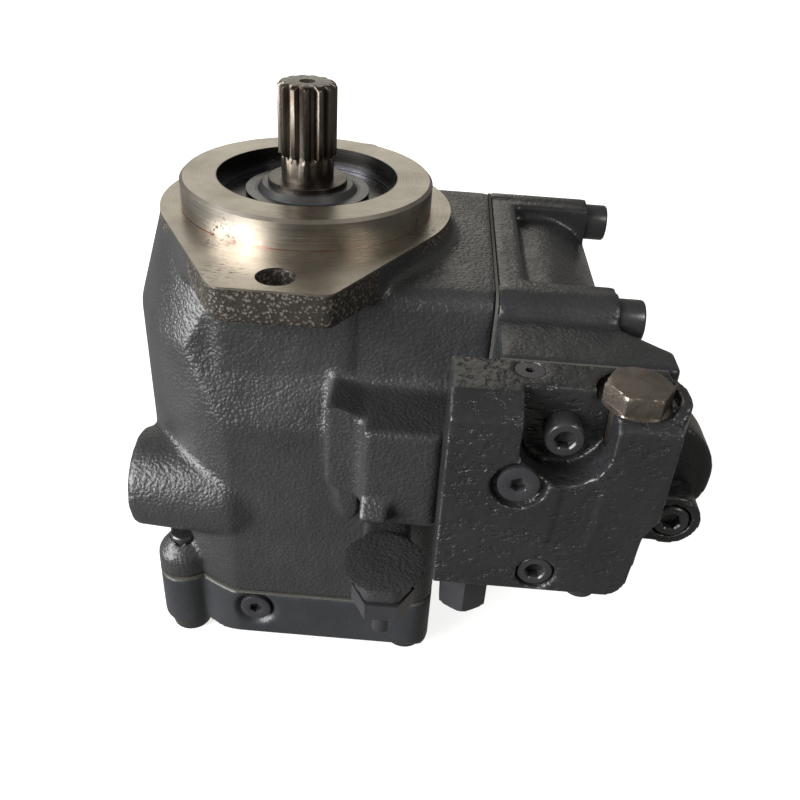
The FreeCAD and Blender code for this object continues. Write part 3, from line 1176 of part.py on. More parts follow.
def servo_housing():
    """The casting to the right, with the servo cylinder and the pad for the control block."""
    left = "bridge_right + gasket_thickness"
    flange = plate("servo_flange", "YZ_Plane", [
        ("-bridge_half_depth", depth("bridge_foot_depth")),
        ("bridge_half_depth", depth("bridge_foot_depth")),
        ("bridge_half_depth", depth("bridge_top_depth")),
        ("-bridge_half_depth", depth("bridge_top_depth"))],
        left, "servo_plate_right - bridge_right - gasket_thickness",
        {2: "bridge_round", 3: "bridge_round"})
    barrel = cylinder("servo_barrel", "+Y",
                      ("servo_across", "-bridge_half_depth", depth("servo_depth")),
                      "servo_wall_radius", "2 * bridge_half_depth")
    belly = box("servo_belly", (left, "servo_across"), ("-bridge_half_depth", "bridge_half_depth"),
                (depth("servo_depth + servo_wall_radius"), depth("servo_depth - 10")))
    blocks = []
    for side, near, far in (("front", "-bridge_half_depth", "-servo_screw_offset + 10"),
                            ("back", "servo_screw_offset - 10", "bridge_half_depth")):
        blocks.append(plate(f"servo_block_{side}", "YZ_Plane", [
            (near, depth("servo_depth + 12")), (far, depth("servo_depth + 12")),
            (far, depth("bridge_top_depth")), (near, depth("bridge_top_depth"))],
            left, "servo_right - bridge_right - gasket_thickness",
            {3 if side == "front" else 2: "bridge_round"}))
    bosses = []
    for index, (y, z) in enumerate(servo_screw_places()):
        bosses.append(cylinder(f"servo_boss_{index}", "+X", (left, y, z), "servo_boss_radius",
                               "servo_right - bridge_right - gasket_thickness"))
    pad = plate("control_pad", "XY_Plane", [
        (left, "-bridge_half_depth + 4"), (left, "-pad_front"), ("pad_right", "-pad_front"),
        ("pad_right", "-pad_notch_y"), ("pad_notch_x", "-bridge_half_depth"),
        ("pad_notch_x - 4", "-bridge_half_depth + 4")],
        depth("pad_foot_depth"), "pad_foot_depth - pad_top_depth", {2: "3"})
    lobe = cylinder("pad_lobe", "+Y", ("lobe_across", "-pad_front", depth("lobe_depth")),
                    "lobe_radius", "pad_front - lobe_back")
    ear = cylinder("pad_ear", "+Y", ("ear_across", "-pad_front", depth("ear_depth")),
                   "ear_radius", "pad_front - lobe_back")
    blank = fuse("servo_housing_blank", [flange, barrel, belly, pad, lobe, ear] + blocks + bosses)

    clip = box("servo_left_clip", ("servo_across - servo_wall_radius - 1", left),
               ("-bridge_half_depth - 1", "bridge_half_depth + 1"),
               (depth("servo_depth + servo_wall_radius + 1"), depth("bridge_top_depth - 1")))
    tools = [clip, cylinder("servo_bore_tool", "+Y",
                      ("servo_across", "-servo_bore_front", depth("servo_depth")),
                      "servo_bore", "servo_bore_front + bridge_half_depth + 1")]
    tools.append(box("servo_window", (f"{left} - 1", "servo_across"),
                     ("-window_half_width", "window_half_width"),
                     (depth("servo_depth + 14"), depth("servo_depth - 14"))))
    for index, (y, z) in enumerate(servo_screw_places()):
        tools.append(cylinder(f"servo_hole_{index}", "+X", ("bridge_right", y, z),
                              "m10_shank + screw_gap", "servo_right - bridge_right + 1"))
    for index in range(4):
        x, z = around("(servo_bore + servo_wall_radius) / 2", index, "4", 45)
        tools.append(cylinder(f"servo_cover_thread_{index}", "-Y",
                              (f"servo_across + {x}", "bridge_half_depth + 1",
                               f"{z} - servo_depth"), "m5_shank + screw_gap", "14"))
    for name, x, z, reach in control_screw_places():
        tools.append(cylinder(f"pad_thread_{name}", "+Y", (x, "-pad_front - 1", z),
                              "m8_shank + screw_gap", "control_screw_grip"))
    tools.append(cylinder("link_bore", "+Y", ("servo_across", "-pad_front - 1", depth("spool_depth - 6")),
                          "link_radius + 0.6", "pad_front + 2 - servo_bore_front"))
    return cut("servo_housing", blank, tools)


def servo_gasket():
    """The gasket between the main housing and the servo housing."""
    sheet_body = plate("servo_gasket_blank", "YZ_Plane", [
        ("-bridge_half_depth", depth("bridge_foot_depth")),
        ("bridge_half_depth", depth("bridge_foot_depth")),
        ("bridge_half_depth", depth("bridge_top_depth")),
        ("-bridge_half_depth", depth("bridge_top_depth"))],
        "bridge_right", "gasket_thickness", {2: "bridge_round", 3: "bridge_round"})
    tools = [box("servo_gasket_window", ("bridge_right - 1", "bridge_right + 3"),
                 ("-window_half_width", "window_half_width"),
                 (depth("window_foot_depth"), depth("window_top_depth")))]
    for index, (y, z) in enumerate(servo_screw_places()):
        tools.append(cylinder(f"servo_gasket_hole_{index}", "+X", ("bridge_right - 1", y, z),
                              "m10_shank + screw_gap", "4"))
    return cut("servo_gasket", sheet_body, tools)


def servo_piston():
    """The piston that swings the swashplate's arm."""
    blank = cylinder("servo_piston_blank", "+Y",
                     ("servo_across", "-servo_piston_half", depth("servo_depth")),
                     "servo_bore - run_gap", "2 * servo_piston_half")
    tools = [box("servo_piston_slot", ("servo_across - servo_bore - 1", "lever_reach + 1"),
                 ("-lever_half_width - 0.1", "lever_half_width + 0.1"),
                 (depth("servo_depth + servo_bore"), depth("servo_depth - servo_bore")))]
    for side, y in (("front", "-servo_piston_half + 6"), ("back", "servo_piston_half - 8")):
        outer = cylinder(f"piston_groove_outer_{side}", "+Y",
                         ("servo_across", y, depth("servo_depth")), "servo_bore + 1", "2")
        inner = cylinder(f"piston_groove_inner_{side}", "+Y",
                         ("servo_across", y, depth("servo_depth")), "servo_bore - 1.5", "2")
        tools.append(cut(f"piston_groove_{side}", outer, [inner]))
    return cut("servo_piston", blank, tools)


def servo_cover():
    """The round cover on the back of the servo bore, with its screws."""
    at = ("servo_across", "bridge_half_depth", depth("servo_depth"))
    blank = cylinder("servo_cover_blank", "+Y", at, "servo_wall_radius", "servo_cover_thickness")
    spigot = cylinder("servo_cover_spigot", "-Y",
                      ("servo_across", "bridge_half_depth + 1", depth("servo_depth")),
                      "servo_bore - run_gap", "9")
    whole = fuse("servo_cover_whole", [blank, spigot])
    tools = []
    screws = []
    for index in range(4):
        x, z = around("(servo_bore + servo_wall_radius) / 2", index, "4", 45)
        spot = (f"servo_across + {x}", "bridge_half_depth + servo_cover_thickness",
                f"{z} - servo_depth")
        tools.append(cylinder(f"servo_cover_hole_{index}", "-Y", step_back("-Y", spot, "1"),
                              "m5_shank + screw_gap", "servo_cover_thickness + 2"))
        screws.append(socket_screw(f"servo_cover_screw_{index}", "-Y", spot, "m5", "19"))
    return cut("servo_cover", whole, tools), group("servo_cover_screws", screws)


# ---------------------------------------------------------------- control block

def control_screw_places():
    """Name, x, z and head seat of the three control block screws."""
    return [
        ("upper", "pocket_across", depth("pocket_depth"), "pocket_floor"),
        ("lower", "low_screw_across", depth("low_screw_depth"), "control_front - low_screw_sink"),
        ("right", "ear_across", depth("ear_depth"), "ear_front - ear_screw_sink"),
    ]


def control_outline():
    """Corners of the control block's front view, without its right ear."""
    return [
        ("control_left", depth("pad_top_depth")), ("control_left", depth("control_foot_depth")),
        ("control_right - 6", depth("control_foot_depth")),
        ("control_right - 4", depth("ear_depth - 6")), ("control_right", depth("ear_depth - 14")),
        ("control_right", depth("pad_top_depth")),
    ]


def control_block():
    """The valve block on the front, with its pockets, spotfaces and bores."""
    back = "pad_front + block_gasket"
    slab = plate("control_slab", "XZ_Plane", control_outline(), back,
                 "control_front - pad_front - block_gasket", {2: "control_corner"})
    ear = cylinder("control_ear", "-Y", ("ear_across", f"-({back})", depth("ear_depth")),
                   "ear_radius", f"ear_front - ({back})")
    ear_web = box("control_ear_web", ("control_right - 8", "ear_across"),
                  ("-ear_front", f"-({back})"),
                  (depth("ear_depth + ear_radius - 1"), depth("ear_depth - ear_radius")))
    corner = cylinder("control_round", "-Z", ("big_plug_x", "-big_plug_y", depth("pad_top_depth")),
                      "big_boss_radius", "big_boss_foot - pad_top_depth")
    corner_keep = box("control_round_keep", ("control_left", "control_right + 12"),
                      ("-control_front", f"-({back})"),
                      (depth("big_boss_foot"), depth("pad_top_depth")))
    corner_part = common("control_round_part", corner, corner_keep)
    blank = fuse("control_blank", [slab, ear, ear_web, corner_part])
    tools = [plate("front_bevel", "YZ_Plane", [
        ("-control_bevel_y", depth("pad_top_depth - 0.01")),
        ("-control_front - 0.01", depth("control_bevel_depth")),
        ("-control_front - 5", depth("control_bevel_depth")),
        ("-control_front - 5", depth("pad_top_depth - 5")),
        ("-control_bevel_y", depth("pad_top_depth - 5"))],
        "control_left - 1", "pad_right + 10 - control_left")]
    tools.append(cylinder("pocket_round", "-Y",
                          ("pocket_across", "-pocket_floor", depth("pocket_depth")),
                          "pocket_radius", "control_front - pocket_floor + 1"))
    tools.append(box("pocket_open", ("pocket_across - pocket_radius", "pocket_across + pocket_radius"),
                     ("-control_front - 1", "-pocket_floor"),
                     (depth("pocket_depth"), depth("pad_top_depth - 1"))))
    tools.append(cylinder("low_sink", "-Y",
                          ("low_screw_across", "-control_front + low_screw_sink",
                           depth("low_screw_depth")), "m8_head + 0.4", "low_screw_sink + 1"))
    tools.append(cylinder("ear_sink", "-Y",
                          ("ear_across", "-ear_front + ear_screw_sink", depth("ear_depth")),
                          "m8_head + 0.6", "ear_screw_sink + 1"))
    for name, x, z, seat in control_screw_places():
        tools.append(cylinder(f"control_hole_{name}", "-Y", (x, "-pad_front + 1", z),
                              "m8_shank + screw_gap", "control_front - pad_front + 2"))
    tools.append(cylinder("big_spotface", "+Z",
                          ("big_plug_x", "-big_plug_y", depth("pad_top_depth + big_spotface_depth")),
                          "big_spotface_radius", "big_spotface_depth + 1"))
    tools.append(cylinder("big_bore", "-Z",
                          ("big_plug_x", "-big_plug_y", depth("pad_top_depth")),
                          "big_plug_bore + screw_gap", "big_spotface_depth + big_plug_length + 3"))
    tools += plug_seat("front_plug_seat", "+Y",
                       ("front_plug_x", "-control_front + plug_sink", depth("front_plug_depth")))
    tools.append(cylinder("top_plug_hole", "-Z",
                          ("top_plug_x", "-top_plug_y", depth("pad_top_depth - 1")),
                          "plug_thread + screw_gap", "plug_length + 2"))
    tools.append(cylinder("under_plug_hole", "+Z",
                          ("under_plug_x", "-under_plug_y", depth("control_foot_depth + 1")),
                          "under_plug_thread + screw_gap", "13"))
    tools.append(cylinder("tail_plug_hole", "+Z",
                          ("tail_plug_x", "-under_plug_y", depth("control_foot_depth + 1")),
                          "tail_plug_thread + screw_gap", "9"))
    tools.append(cylinder("spool_bore", "+X",
                          ("spool_bore_left", "-spool_y", depth("spool_depth")),
                          "spool_radius + run_gap", "control_right - spool_bore_left + 20"))
    tools.append(cylinder("spool_plug_hole", "-X",
                          ("control_right + 1", "-spool_y", depth("spool_depth")),
                          "spool_plug_thread + screw_gap", "spool_plug_length + 1"))
    tools.append(cylinder("link_slot", "+Y", ("servo_across", "-spool_y", depth("spool_depth - 6")),
                          "link_radius + 0.6", "spool_y - pad_front + 1"))
    tools.append(plate("label_recess", "XZ_Plane", [
        ("pocket_across + 1", "-40.5"), ("pocket_across + 10", "-40.5"),
        ("pocket_across + 14.5", "-45"), ("pocket_across + 12.5", "-71.5"),
        ("pocket_across - 1", "-71.5")], "control_front - label_depth", "label_depth + 1",
        {1: "2", 2: "3", 3: "4"}))
    return cut("control_block", blank, tools)


def control_gasket():
    """The thin gasket behind the control block."""
    right = "pad_right - 5"
    sheet_body = box("control_gasket_sheet", ("bridge_right + gasket_thickness", right),
                     ("-pad_front - block_gasket", "-pad_front"),
                     (depth("pad_foot_depth"), depth("pad_top_depth")))
    tools = []
    for name, x, z, seat in control_screw_places():
        if name != "right":
            tools.append(cylinder(f"control_gasket_hole_{name}", "-Y", (x, "-pad_front + 1", z),
                                  "m8_shank + screw_gap", "4"))
    tools.append(cylinder("control_gasket_link", "-Y",
                          ("servo_across", "-pad_front + 1", depth("spool_depth - 6")),
                          "link_radius + 0.6", "4"))
    return cut("control_gasket", sheet_body, tools)


def spool_parts():
    """The control spool, its two springs, its end plug and the feedback link."""
    axis_y = "-spool_y"
    axis_z = depth("spool_depth")
    body = cylinder("spool_blank", "+X", ("spool_left", axis_y, axis_z), "spool_radius",
                    "spool_right - spool_left")
    grooves = []
    for name, start, width in (("left", "spool_left + 4", "5"),
                               ("middle", "servo_across - spool_travel - link_radius - 0.6",
                                "2 * (spool_travel + link_radius + 0.6)"),
                               ("right", "spool_right - 5", "2.5")):
        outer = cylinder(f"spool_groove_outer_{name}", "+X", (start, axis_y, axis_z),
                         "spool_radius + 1", width)
        inner = cylinder(f"spool_groove_inner_{name}", "+X", (start, axis_y, axis_z),
                         "spool_groove", width)
        grooves.append(cut(f"spool_groove_{name}", outer, [inner]))
    spool = cut("control_spool", body, grooves)
    left = coil("spool_spring_left", "+X", ("spool_bore_left + 0.1", axis_y, axis_z),
                "spool_spring_coil", "spool_spring_wire",
                "spool_left - spool_bore_left - 0.2", "spool_spring_turns")
    plug_tip = "control_right - spool_plug_length"
    right = coil("spool_spring_right", "+X", ("spool_right + 0.1", axis_y, axis_z),
                 "spool_spring_coil", "spool_spring_wire",
                 f"{plug_tip} - spool_right - 0.2", "spool_spring_turns")
    thread = cylinder("spool_plug_blank", "+X", (plug_tip, axis_y, axis_z),
                      "spool_plug_thread", "spool_plug_length - 2")
    socket = hexagon("spool_plug_socket", "-X", ("control_right", axis_y, axis_z),
                     "spool_plug_hex", "5")
    end_plug = cut("spool_end_plug", thread, [socket])
    link = cylinder("feedback_link", "+Y",
                    ("servo_across", "-spool_y + spool_groove + 0.6", depth("spool_depth - 6")),
                    "link_radius", "spool_y - spool_groove - 0.6 - servo_bore_front + 3")
    return [spool, left, right, end_plug, link]


def control_screws():
    """The three screws of the control block."""
    screws = []
    for name, x, z, seat in control_screw_places():
        screws.append(socket_screw(f"control_screw_{name}", "+Y", (x, f"-({seat})", z), "m8",
                                   f"({seat}) - pad_front + control_screw_grip - 3"))
    return group("control_screws", screws)


def relief_plug():
    """The big hexagonal plug on top of the control block."""
    seat = "pad_top_depth + big_spotface_depth"
    at = ("big_plug_x", "-big_plug_y", depth("big_plug_top"))
    head_blank = hexagon("relief_plug_hex", "-Z", at, "big_plug_flats", f"{seat} - big_plug_top")
    crown = cone("relief_plug_crown", "-Z", at, "big_plug_flats / 2 - 0.5",
                 f"big_plug_flats / 2 - 0.5 + 2 * ({seat} - big_plug_top)", f"{seat} - big_plug_top")
    head = common("relief_plug_head", head_blank, crown)
    thread = cylinder("relief_plug_thread", "-Z",
                      ("big_plug_x", "-big_plug_y", depth(f"{seat} - 1")), "big_plug_bore",
                      "big_plug_length + 1")
    return fuse("relief_plug", [head, thread])


def lower_plugs():
    """The hex plug and the round plug under the control block."""
    hex_piece = hexagon("under_plug_hex", "+Z",
                        ("under_plug_x", "-under_plug_y", depth("under_plug_foot")),
                        "under_plug_flats", "under_plug_foot - control_foot_depth")
    point = cone("under_plug_cone", "+Z",
                 ("under_plug_x", "-under_plug_y", depth("under_plug_foot")),
                 "under_plug_flats * 0.3", "under_plug_flats * 0.3 + 40", "40")
    head = common("under_plug_head", hex_piece, point)
    thread = cylinder("under_plug_thread", "+Z",
                      ("under_plug_x", "-under_plug_y", depth("control_foot_depth + 1")),
                      "under_plug_thread", "12")
    under = fuse("test_port_plug", [head, thread])
    cap = cylinder("tail_plug_cap", "+Z", ("tail_plug_x", "-under_plug_y", depth("tail_plug_foot")),
                   "tail_plug_cap_radius", "tail_plug_foot - control_foot_depth")
    stem = cylinder("tail_plug_stem", "+Z",
                    ("tail_plug_x", "-under_plug_y", depth("control_foot_depth + 1")),
                    "tail_plug_thread", "8")
    return under, fuse("bottom_plug", [cap, stem])


def socket_plugs():
    """The three flush plugs: control block front and top, and end cover."""
    front = socket_plug("control_front_plug", "+Y",
                        ("front_plug_x", "-control_front + plug_sink", depth("front_plug_depth")))
    cover = socket_plug("end_cover_plug", "+Y",
                        ("-cover_plug_x", "-body_half_depth + plug_sink", depth("cover_plug_depth")))
    top_blank = cylinder("top_plug_blank", "-Z",
                         ("top_plug_x", "-top_plug_y", depth("pad_top_depth + 0.4")),
                         "plug_thread", "plug_length")
    top_socket = hexagon("top_plug_socket", "-Z",
                         ("top_plug_x", "-top_plug_y", depth("pad_top_depth")), "3", "4")
    pair = group("socket_plugs", [front, cover])
    return pair, cut("control_top_plug", top_blank, [top_socket])


def adjuster():
    """The hex plug under the disc boss with its adjusting screw and lock nut."""
    at = ("disc_across", "-disc_front", depth("adjuster_foot"))
    head = hexagon("adjuster_hex", "+Z", at, "adjuster_flats", "adjuster_foot - disc_foot_depth")
    thread = cylinder("adjuster_thread_piece", "+Z",
                      ("disc_across", "-disc_front", depth("disc_foot_depth + 1")),
                      "adjuster_thread", "adjuster_length")
    whole = fuse("adjuster_whole", [head, thread])
    hole = cylinder("adjuster_stud_hole", "+Z", step_back("+Z", at, "1"), "stud_radius + seat_gap",
                    "adjuster_foot - disc_foot_depth + 2")
    plug = cut("adjuster_plug", whole, [hole])
    stud_at = ("disc_across", "-disc_front", depth("stud_foot"))
    stud_blank = cylinder("stud_blank", "+Z", stud_at, "stud_radius", "stud_foot - disc_foot_depth")
    stud_socket = hexagon("stud_socket", "+Z", step_back("+Z", stud_at, "1"), "2.5", "4")
    stud = cut("adjuster_screw", stud_blank, [stud_socket])
    nut_top = depth("adjuster_foot")
    nut_blank = hexagon("nut_blank", "-Z", ("disc_across", "-disc_front", nut_top), "nut_flats",
                        "nut_height")
    nut_hole = cylinder("nut_hole", "-Z", ("disc_across", "-disc_front", f"{nut_top} + 1"),
                        "stud_radius + seat_gap", "nut_height + 2")
    nut = cut("adjuster_lock_nut", nut_blank, [nut_hole])
    return plug, stud, nut


def cover_screws():
    """The four end cover screws, with their heads on the rear face."""
    screws = []
    for index, (x, y) in enumerate(cover_screw_places()):
        screws.append(socket_screw(f"end_cover_screw_{index}", "+Z",
                                   (x, y, depth("cover_end_depth - cover_screw_sink")), "m12",
                                   "cover_screw_length"))
    return group("end_cover_screws", screws)


def servo_screws():
    """The four screws of the servo housing."""
    screws = []
    for index, (y, z) in enumerate(servo_screw_places()):
        screws.append(socket_screw(f"servo_housing_screw_{index}", "-X", ("servo_right", y, z),
                                   "m10", "servo_right - bridge_right + servo_screw_grip"))
    return group("servo_housing_screws", screws)


# ---------------------------------------------------------------- assembly

nodes = [main_housing(), end_cover(), end_cover_gasket(), cover_screws()]
nodes += [drive_shaft()]
nodes += roller_bearing("front_bearing", depth("bearing_depth"), "bearing_width",
                        "bearing_radius - seat_gap", "race_out", "race_in",
                        "journal_radius + seat_gap", "front_rollers", "roller_length")
nodes += roller_bearing("rear_bearing", depth("rear_bearing_depth"), "rear_bearing_width",
                        "rear_bearing_radius - seat_gap", "rear_race", "tail_radius", None,
                        "rear_rollers", "rear_roller_length")
nodes += [seal_carrier(), *shaft_seal(), *carrier_rings()]
nodes += [cylinder_block()]
nodes += [piston(index) for index in range(int(number("piston_count")))]
nodes += [group("slippers", [slipper(index) for index in range(int(number("piston_count")))])]
nodes += [slipper_retainer(), ball_guide(), *hold_down(), *valve_plate()]
nodes += [swashplate(), group("cradle_bearings", [cradle_bearing("left", "-cradle_outer"),
                                                  cradle_bearing("right", "cradle_inner")])]
nodes += [servo_housing(), servo_gasket(), servo_screws(), servo_piston(), *servo_cover()]
nodes += [control_block(), control_gasket(), control_screws(), *spool_parts()]
nodes += [relief_plug(), *lower_plugs(), *socket_plugs(), *adjuster()]

doc.recompute()
faults = []
for thing in doc.Objects:
    if {"Invalid", "Error"} & set(thing.State):
        faults.append(f"{thing.Label}: {thing.State}")
for node in nodes:
    if node.Shape.isNull() or not node.Shape.isValid() or not node.Shape.Solids:
        faults.append(f"{node.Label}: no valid solid")
if faults:
    raise RuntimeError("; ".join(faults))
for node in nodes:
    node.Shape.exportStep(f"parts/{node.Label}.step")
print(len(nodes), "sub-parts written")
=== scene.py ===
# %% [markdown]
# # An axial piston pump, dressed for its picture
# The engineering model of the pump is already packed as a fixed frame. This lesson gives it
# the looks of the real thing: grained castings under black enamel, a turned flange, a stained
# splined shaft and oxide-black screws. Nothing in the frame moves. Every new piece takes its
# place from the frame and rides on one of its bodies, and the frame's parts it stands for are hidden.

import json
import math

import bmesh
import bpy
from mathutils import Matrix, Vector


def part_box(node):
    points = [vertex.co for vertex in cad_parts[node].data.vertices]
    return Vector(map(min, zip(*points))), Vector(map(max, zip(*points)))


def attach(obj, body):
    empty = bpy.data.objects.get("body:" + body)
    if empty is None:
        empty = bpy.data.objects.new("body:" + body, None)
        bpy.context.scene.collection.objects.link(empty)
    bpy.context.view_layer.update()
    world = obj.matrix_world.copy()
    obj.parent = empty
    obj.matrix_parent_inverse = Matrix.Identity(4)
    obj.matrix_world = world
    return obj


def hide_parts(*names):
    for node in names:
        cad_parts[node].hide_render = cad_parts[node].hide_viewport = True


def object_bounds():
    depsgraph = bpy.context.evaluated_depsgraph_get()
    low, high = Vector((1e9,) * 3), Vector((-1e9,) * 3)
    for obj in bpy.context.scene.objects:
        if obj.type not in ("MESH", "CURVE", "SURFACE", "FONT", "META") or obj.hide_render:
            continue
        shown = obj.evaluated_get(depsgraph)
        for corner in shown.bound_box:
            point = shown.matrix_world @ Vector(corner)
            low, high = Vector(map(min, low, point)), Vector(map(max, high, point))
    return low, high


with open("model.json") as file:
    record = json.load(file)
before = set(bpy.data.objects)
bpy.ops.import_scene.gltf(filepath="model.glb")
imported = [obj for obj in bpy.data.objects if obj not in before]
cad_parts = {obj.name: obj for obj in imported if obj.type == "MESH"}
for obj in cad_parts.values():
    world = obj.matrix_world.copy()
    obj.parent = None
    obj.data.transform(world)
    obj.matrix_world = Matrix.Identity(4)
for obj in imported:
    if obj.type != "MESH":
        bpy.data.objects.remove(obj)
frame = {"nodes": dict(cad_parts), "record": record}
cad_box = [[float(v) for v in corner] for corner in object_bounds()]
print(len(frame["nodes"]), "parts in the frame, box", cad_box)

# %% [markdown]
# ## Small tools for every piece
# A part of the frame is a heap of loose triangles. A piece that starts from such a part first
# welds a copy of it. Three more helpers turn modifiers into plain mesh, set which edges look
# sharp, and hand a finished piece over to its body.

# %% Weld, apply, sharpen, hand over
MM = 0.001
HOUSING = "housing"
SHAFT = "rotating_group"


def add_object(name, mesh):
    """A new object at the origin that shows the mesh."""
    obj = bpy.data.objects.new(name, mesh)
    bpy.context.scene.collection.objects.link(obj)
    return obj


def welded(part):
    """A closed mesh copied from a part of the frame."""
    source = frame["nodes"][part].data
    mesh = bpy.data.meshes.new(part + "_copy")
    corners = [tuple(v.co) for v in source.vertices]
    mesh.from_pydata(corners, [], [tuple(p.vertices) for p in source.polygons])
    bm = bmesh.new()
    bm.from_mesh(mesh)
    bmesh.ops.remove_doubles(bm, verts=bm.verts, dist=2e-6)
    bmesh.ops.recalc_face_normals(bm, faces=bm.faces)
    bm.to_mesh(mesh)
    bm.free()
    return mesh


def apply_modifiers(obj):
    """The object's evaluated shape becomes its own mesh."""
    bpy.context.view_layer.update()
    shape = obj.evaluated_get(bpy.context.evaluated_depsgraph_get())
    mesh = bpy.data.meshes.new_from_object(shape)
    obj.modifiers.clear()
    obj.data = mesh
    return obj


def shade(obj, degrees=30):
    """Smooth shading that breaks at edges sharper than the angle."""
    obj.data.polygons.foreach_set("use_smooth", [True] * len(obj.data.polygons))
    obj.data.set_sharp_from_angle(angle=math.radians(degrees))
    return obj


def hand_over(obj, body, slot, finish, *parts):
    """Give the piece its finish and its body, and hide the parts it stands for; the slot is not used."""
    obj.data.materials.clear()
    obj.data.materials.append(finish)
    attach(obj, body)
    if parts:
        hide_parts(*parts)
    print(obj.name, len(obj.data.polygons), "faces on", body)


# %% [markdown]
# ## Finishes
# Each finish is a small tree of nodes on Object coordinates, so its pattern keeps its real size
# in metres. The helper below adds a node, sets its inputs by name and returns it.

# %% A helper for node trees
def add_node(tree, kind, inputs=(), **settings):
    """A node with its settings, and inputs given as (name or index, value or socket)."""
    made = tree.nodes.new(kind)
    for key, value in settings.items():
        setattr(made, key, value)
    for key, value in inputs:
        if isinstance(value, bpy.types.NodeSocket):
            tree.links.new(value, made.inputs[key])
        else:
            made.inputs[key].default_value = value
    return made


def new_finish(name, colour, metallic, roughness):
    """An empty finish: its tree, its shader and the coordinates in metres."""
    finish = bpy.data.materials.new(name)
    finish.use_nodes = True
    tree = finish.node_tree
    tree.nodes.clear()
    out = add_node(tree, "ShaderNodeOutputMaterial")
    shader = add_node(tree, "ShaderNodeBsdfPrincipled", [
        ("Base Color", (*colour, 1)), ("Metallic", metallic), ("Roughness", roughness)])
    tree.links.new(shader.outputs[0], out.inputs[0])
    place = add_node(tree, "ShaderNodeTexCoord").outputs["Object"]
    return finish, tree, shader, place


def noise(tree, place, size, detail=3.0, rough=0.55, stretch=None):
    """Noise whose lumps are about that many metres across, from 0 to 1."""
    if stretch:
        place = add_node(tree, "ShaderNodeMapping", [("Vector", place), ("Scale", stretch)]).outputs[0]
    return add_node(tree, "ShaderNodeTexNoise", [
        ("Vector", place), ("Scale", 1 / size), ("Detail", detail), ("Roughness", rough)]).outputs[0]


def between(tree, value, low, high, out_low=0.0, out_high=1.0):
    """The value mapped from one range to another, and clamped."""
    return add_node(tree, "ShaderNodeMapRange", [
        ("Value", value), ("From Min", low), ("From Max", high),
        ("To Min", out_low), ("To Max", out_high)]).outputs[0]


def blend_colours(tree, factor, first, second):
    """A mix of two colours, each a triple or a socket."""
    pair = [c if isinstance(c, bpy.types.NodeSocket) else (*c, 1) for c in (first, second)]
    return add_node(tree, "ShaderNodeMix", [(0, factor), (6, pair[0]), (7, pair[1])],
                    data_type="RGBA").outputs[2]


def maths(tree, operation, first, second=0.0):
    """One sum on two values."""
    return add_node(tree, "ShaderNodeMath", [(0, first), (1, second)], operation=operation).outputs[0]


def blend_values(tree, share, first, second):
    """Mix two numbers."""
    kept = maths(tree, "MULTIPLY", first, 1 - share)
    added = maths(tree, "MULTIPLY", second, share)
    return maths(tree, "ADD", kept, added)


def raise_surface(tree, shader, height, depth_m, under=None):
    """Bump of that depth in metres, on top of another bump if one is given."""
    inputs = [("Strength", 1.0), ("Distance", depth_m), ("Height", height)]
    if under is not None:
        inputs.append(("Normal", under))
    bump = add_node(tree, "ShaderNodeBump", inputs).outputs[0]
    tree.links.new(bump, shader.inputs["Normal"])
    return bump


# %% [markdown]
# ### Black enamel over cast iron
# The paint is thin, so the grain of the sand mould shows through it as bright pinpoints. Two
# layers of noise give the grain and the slow waves of the casting. Raised edges are rubbed
# bright, which the curvature of the mesh tells, and a slow noise makes some areas glossier.

# %% Where the flange's side is
def flange_side(tree, place):
    """One on the round flange and its two ears, nought on the box beside them."""
    axes = add_node(tree, "ShaderNodeSeparateXYZ", [(0, place)]).outputs
    flat = add_node(tree, "ShaderNodeCombineXYZ", [(0, axes[0]), (1, axes[1])]).outputs[0]
    radius = add_node(tree, "ShaderNodeVectorMath", [(0, flat)], operation="LENGTH").outputs["Value"]
    disc = between(tree, radius, 0.0594, 0.0597, 1.0, 0.0)
    ears = between(tree, maths(tree, "ABSOLUTE", axes[1]), 0.0592, 0.0595)
    return maths(tree, "MAXIMUM", disc, ears)
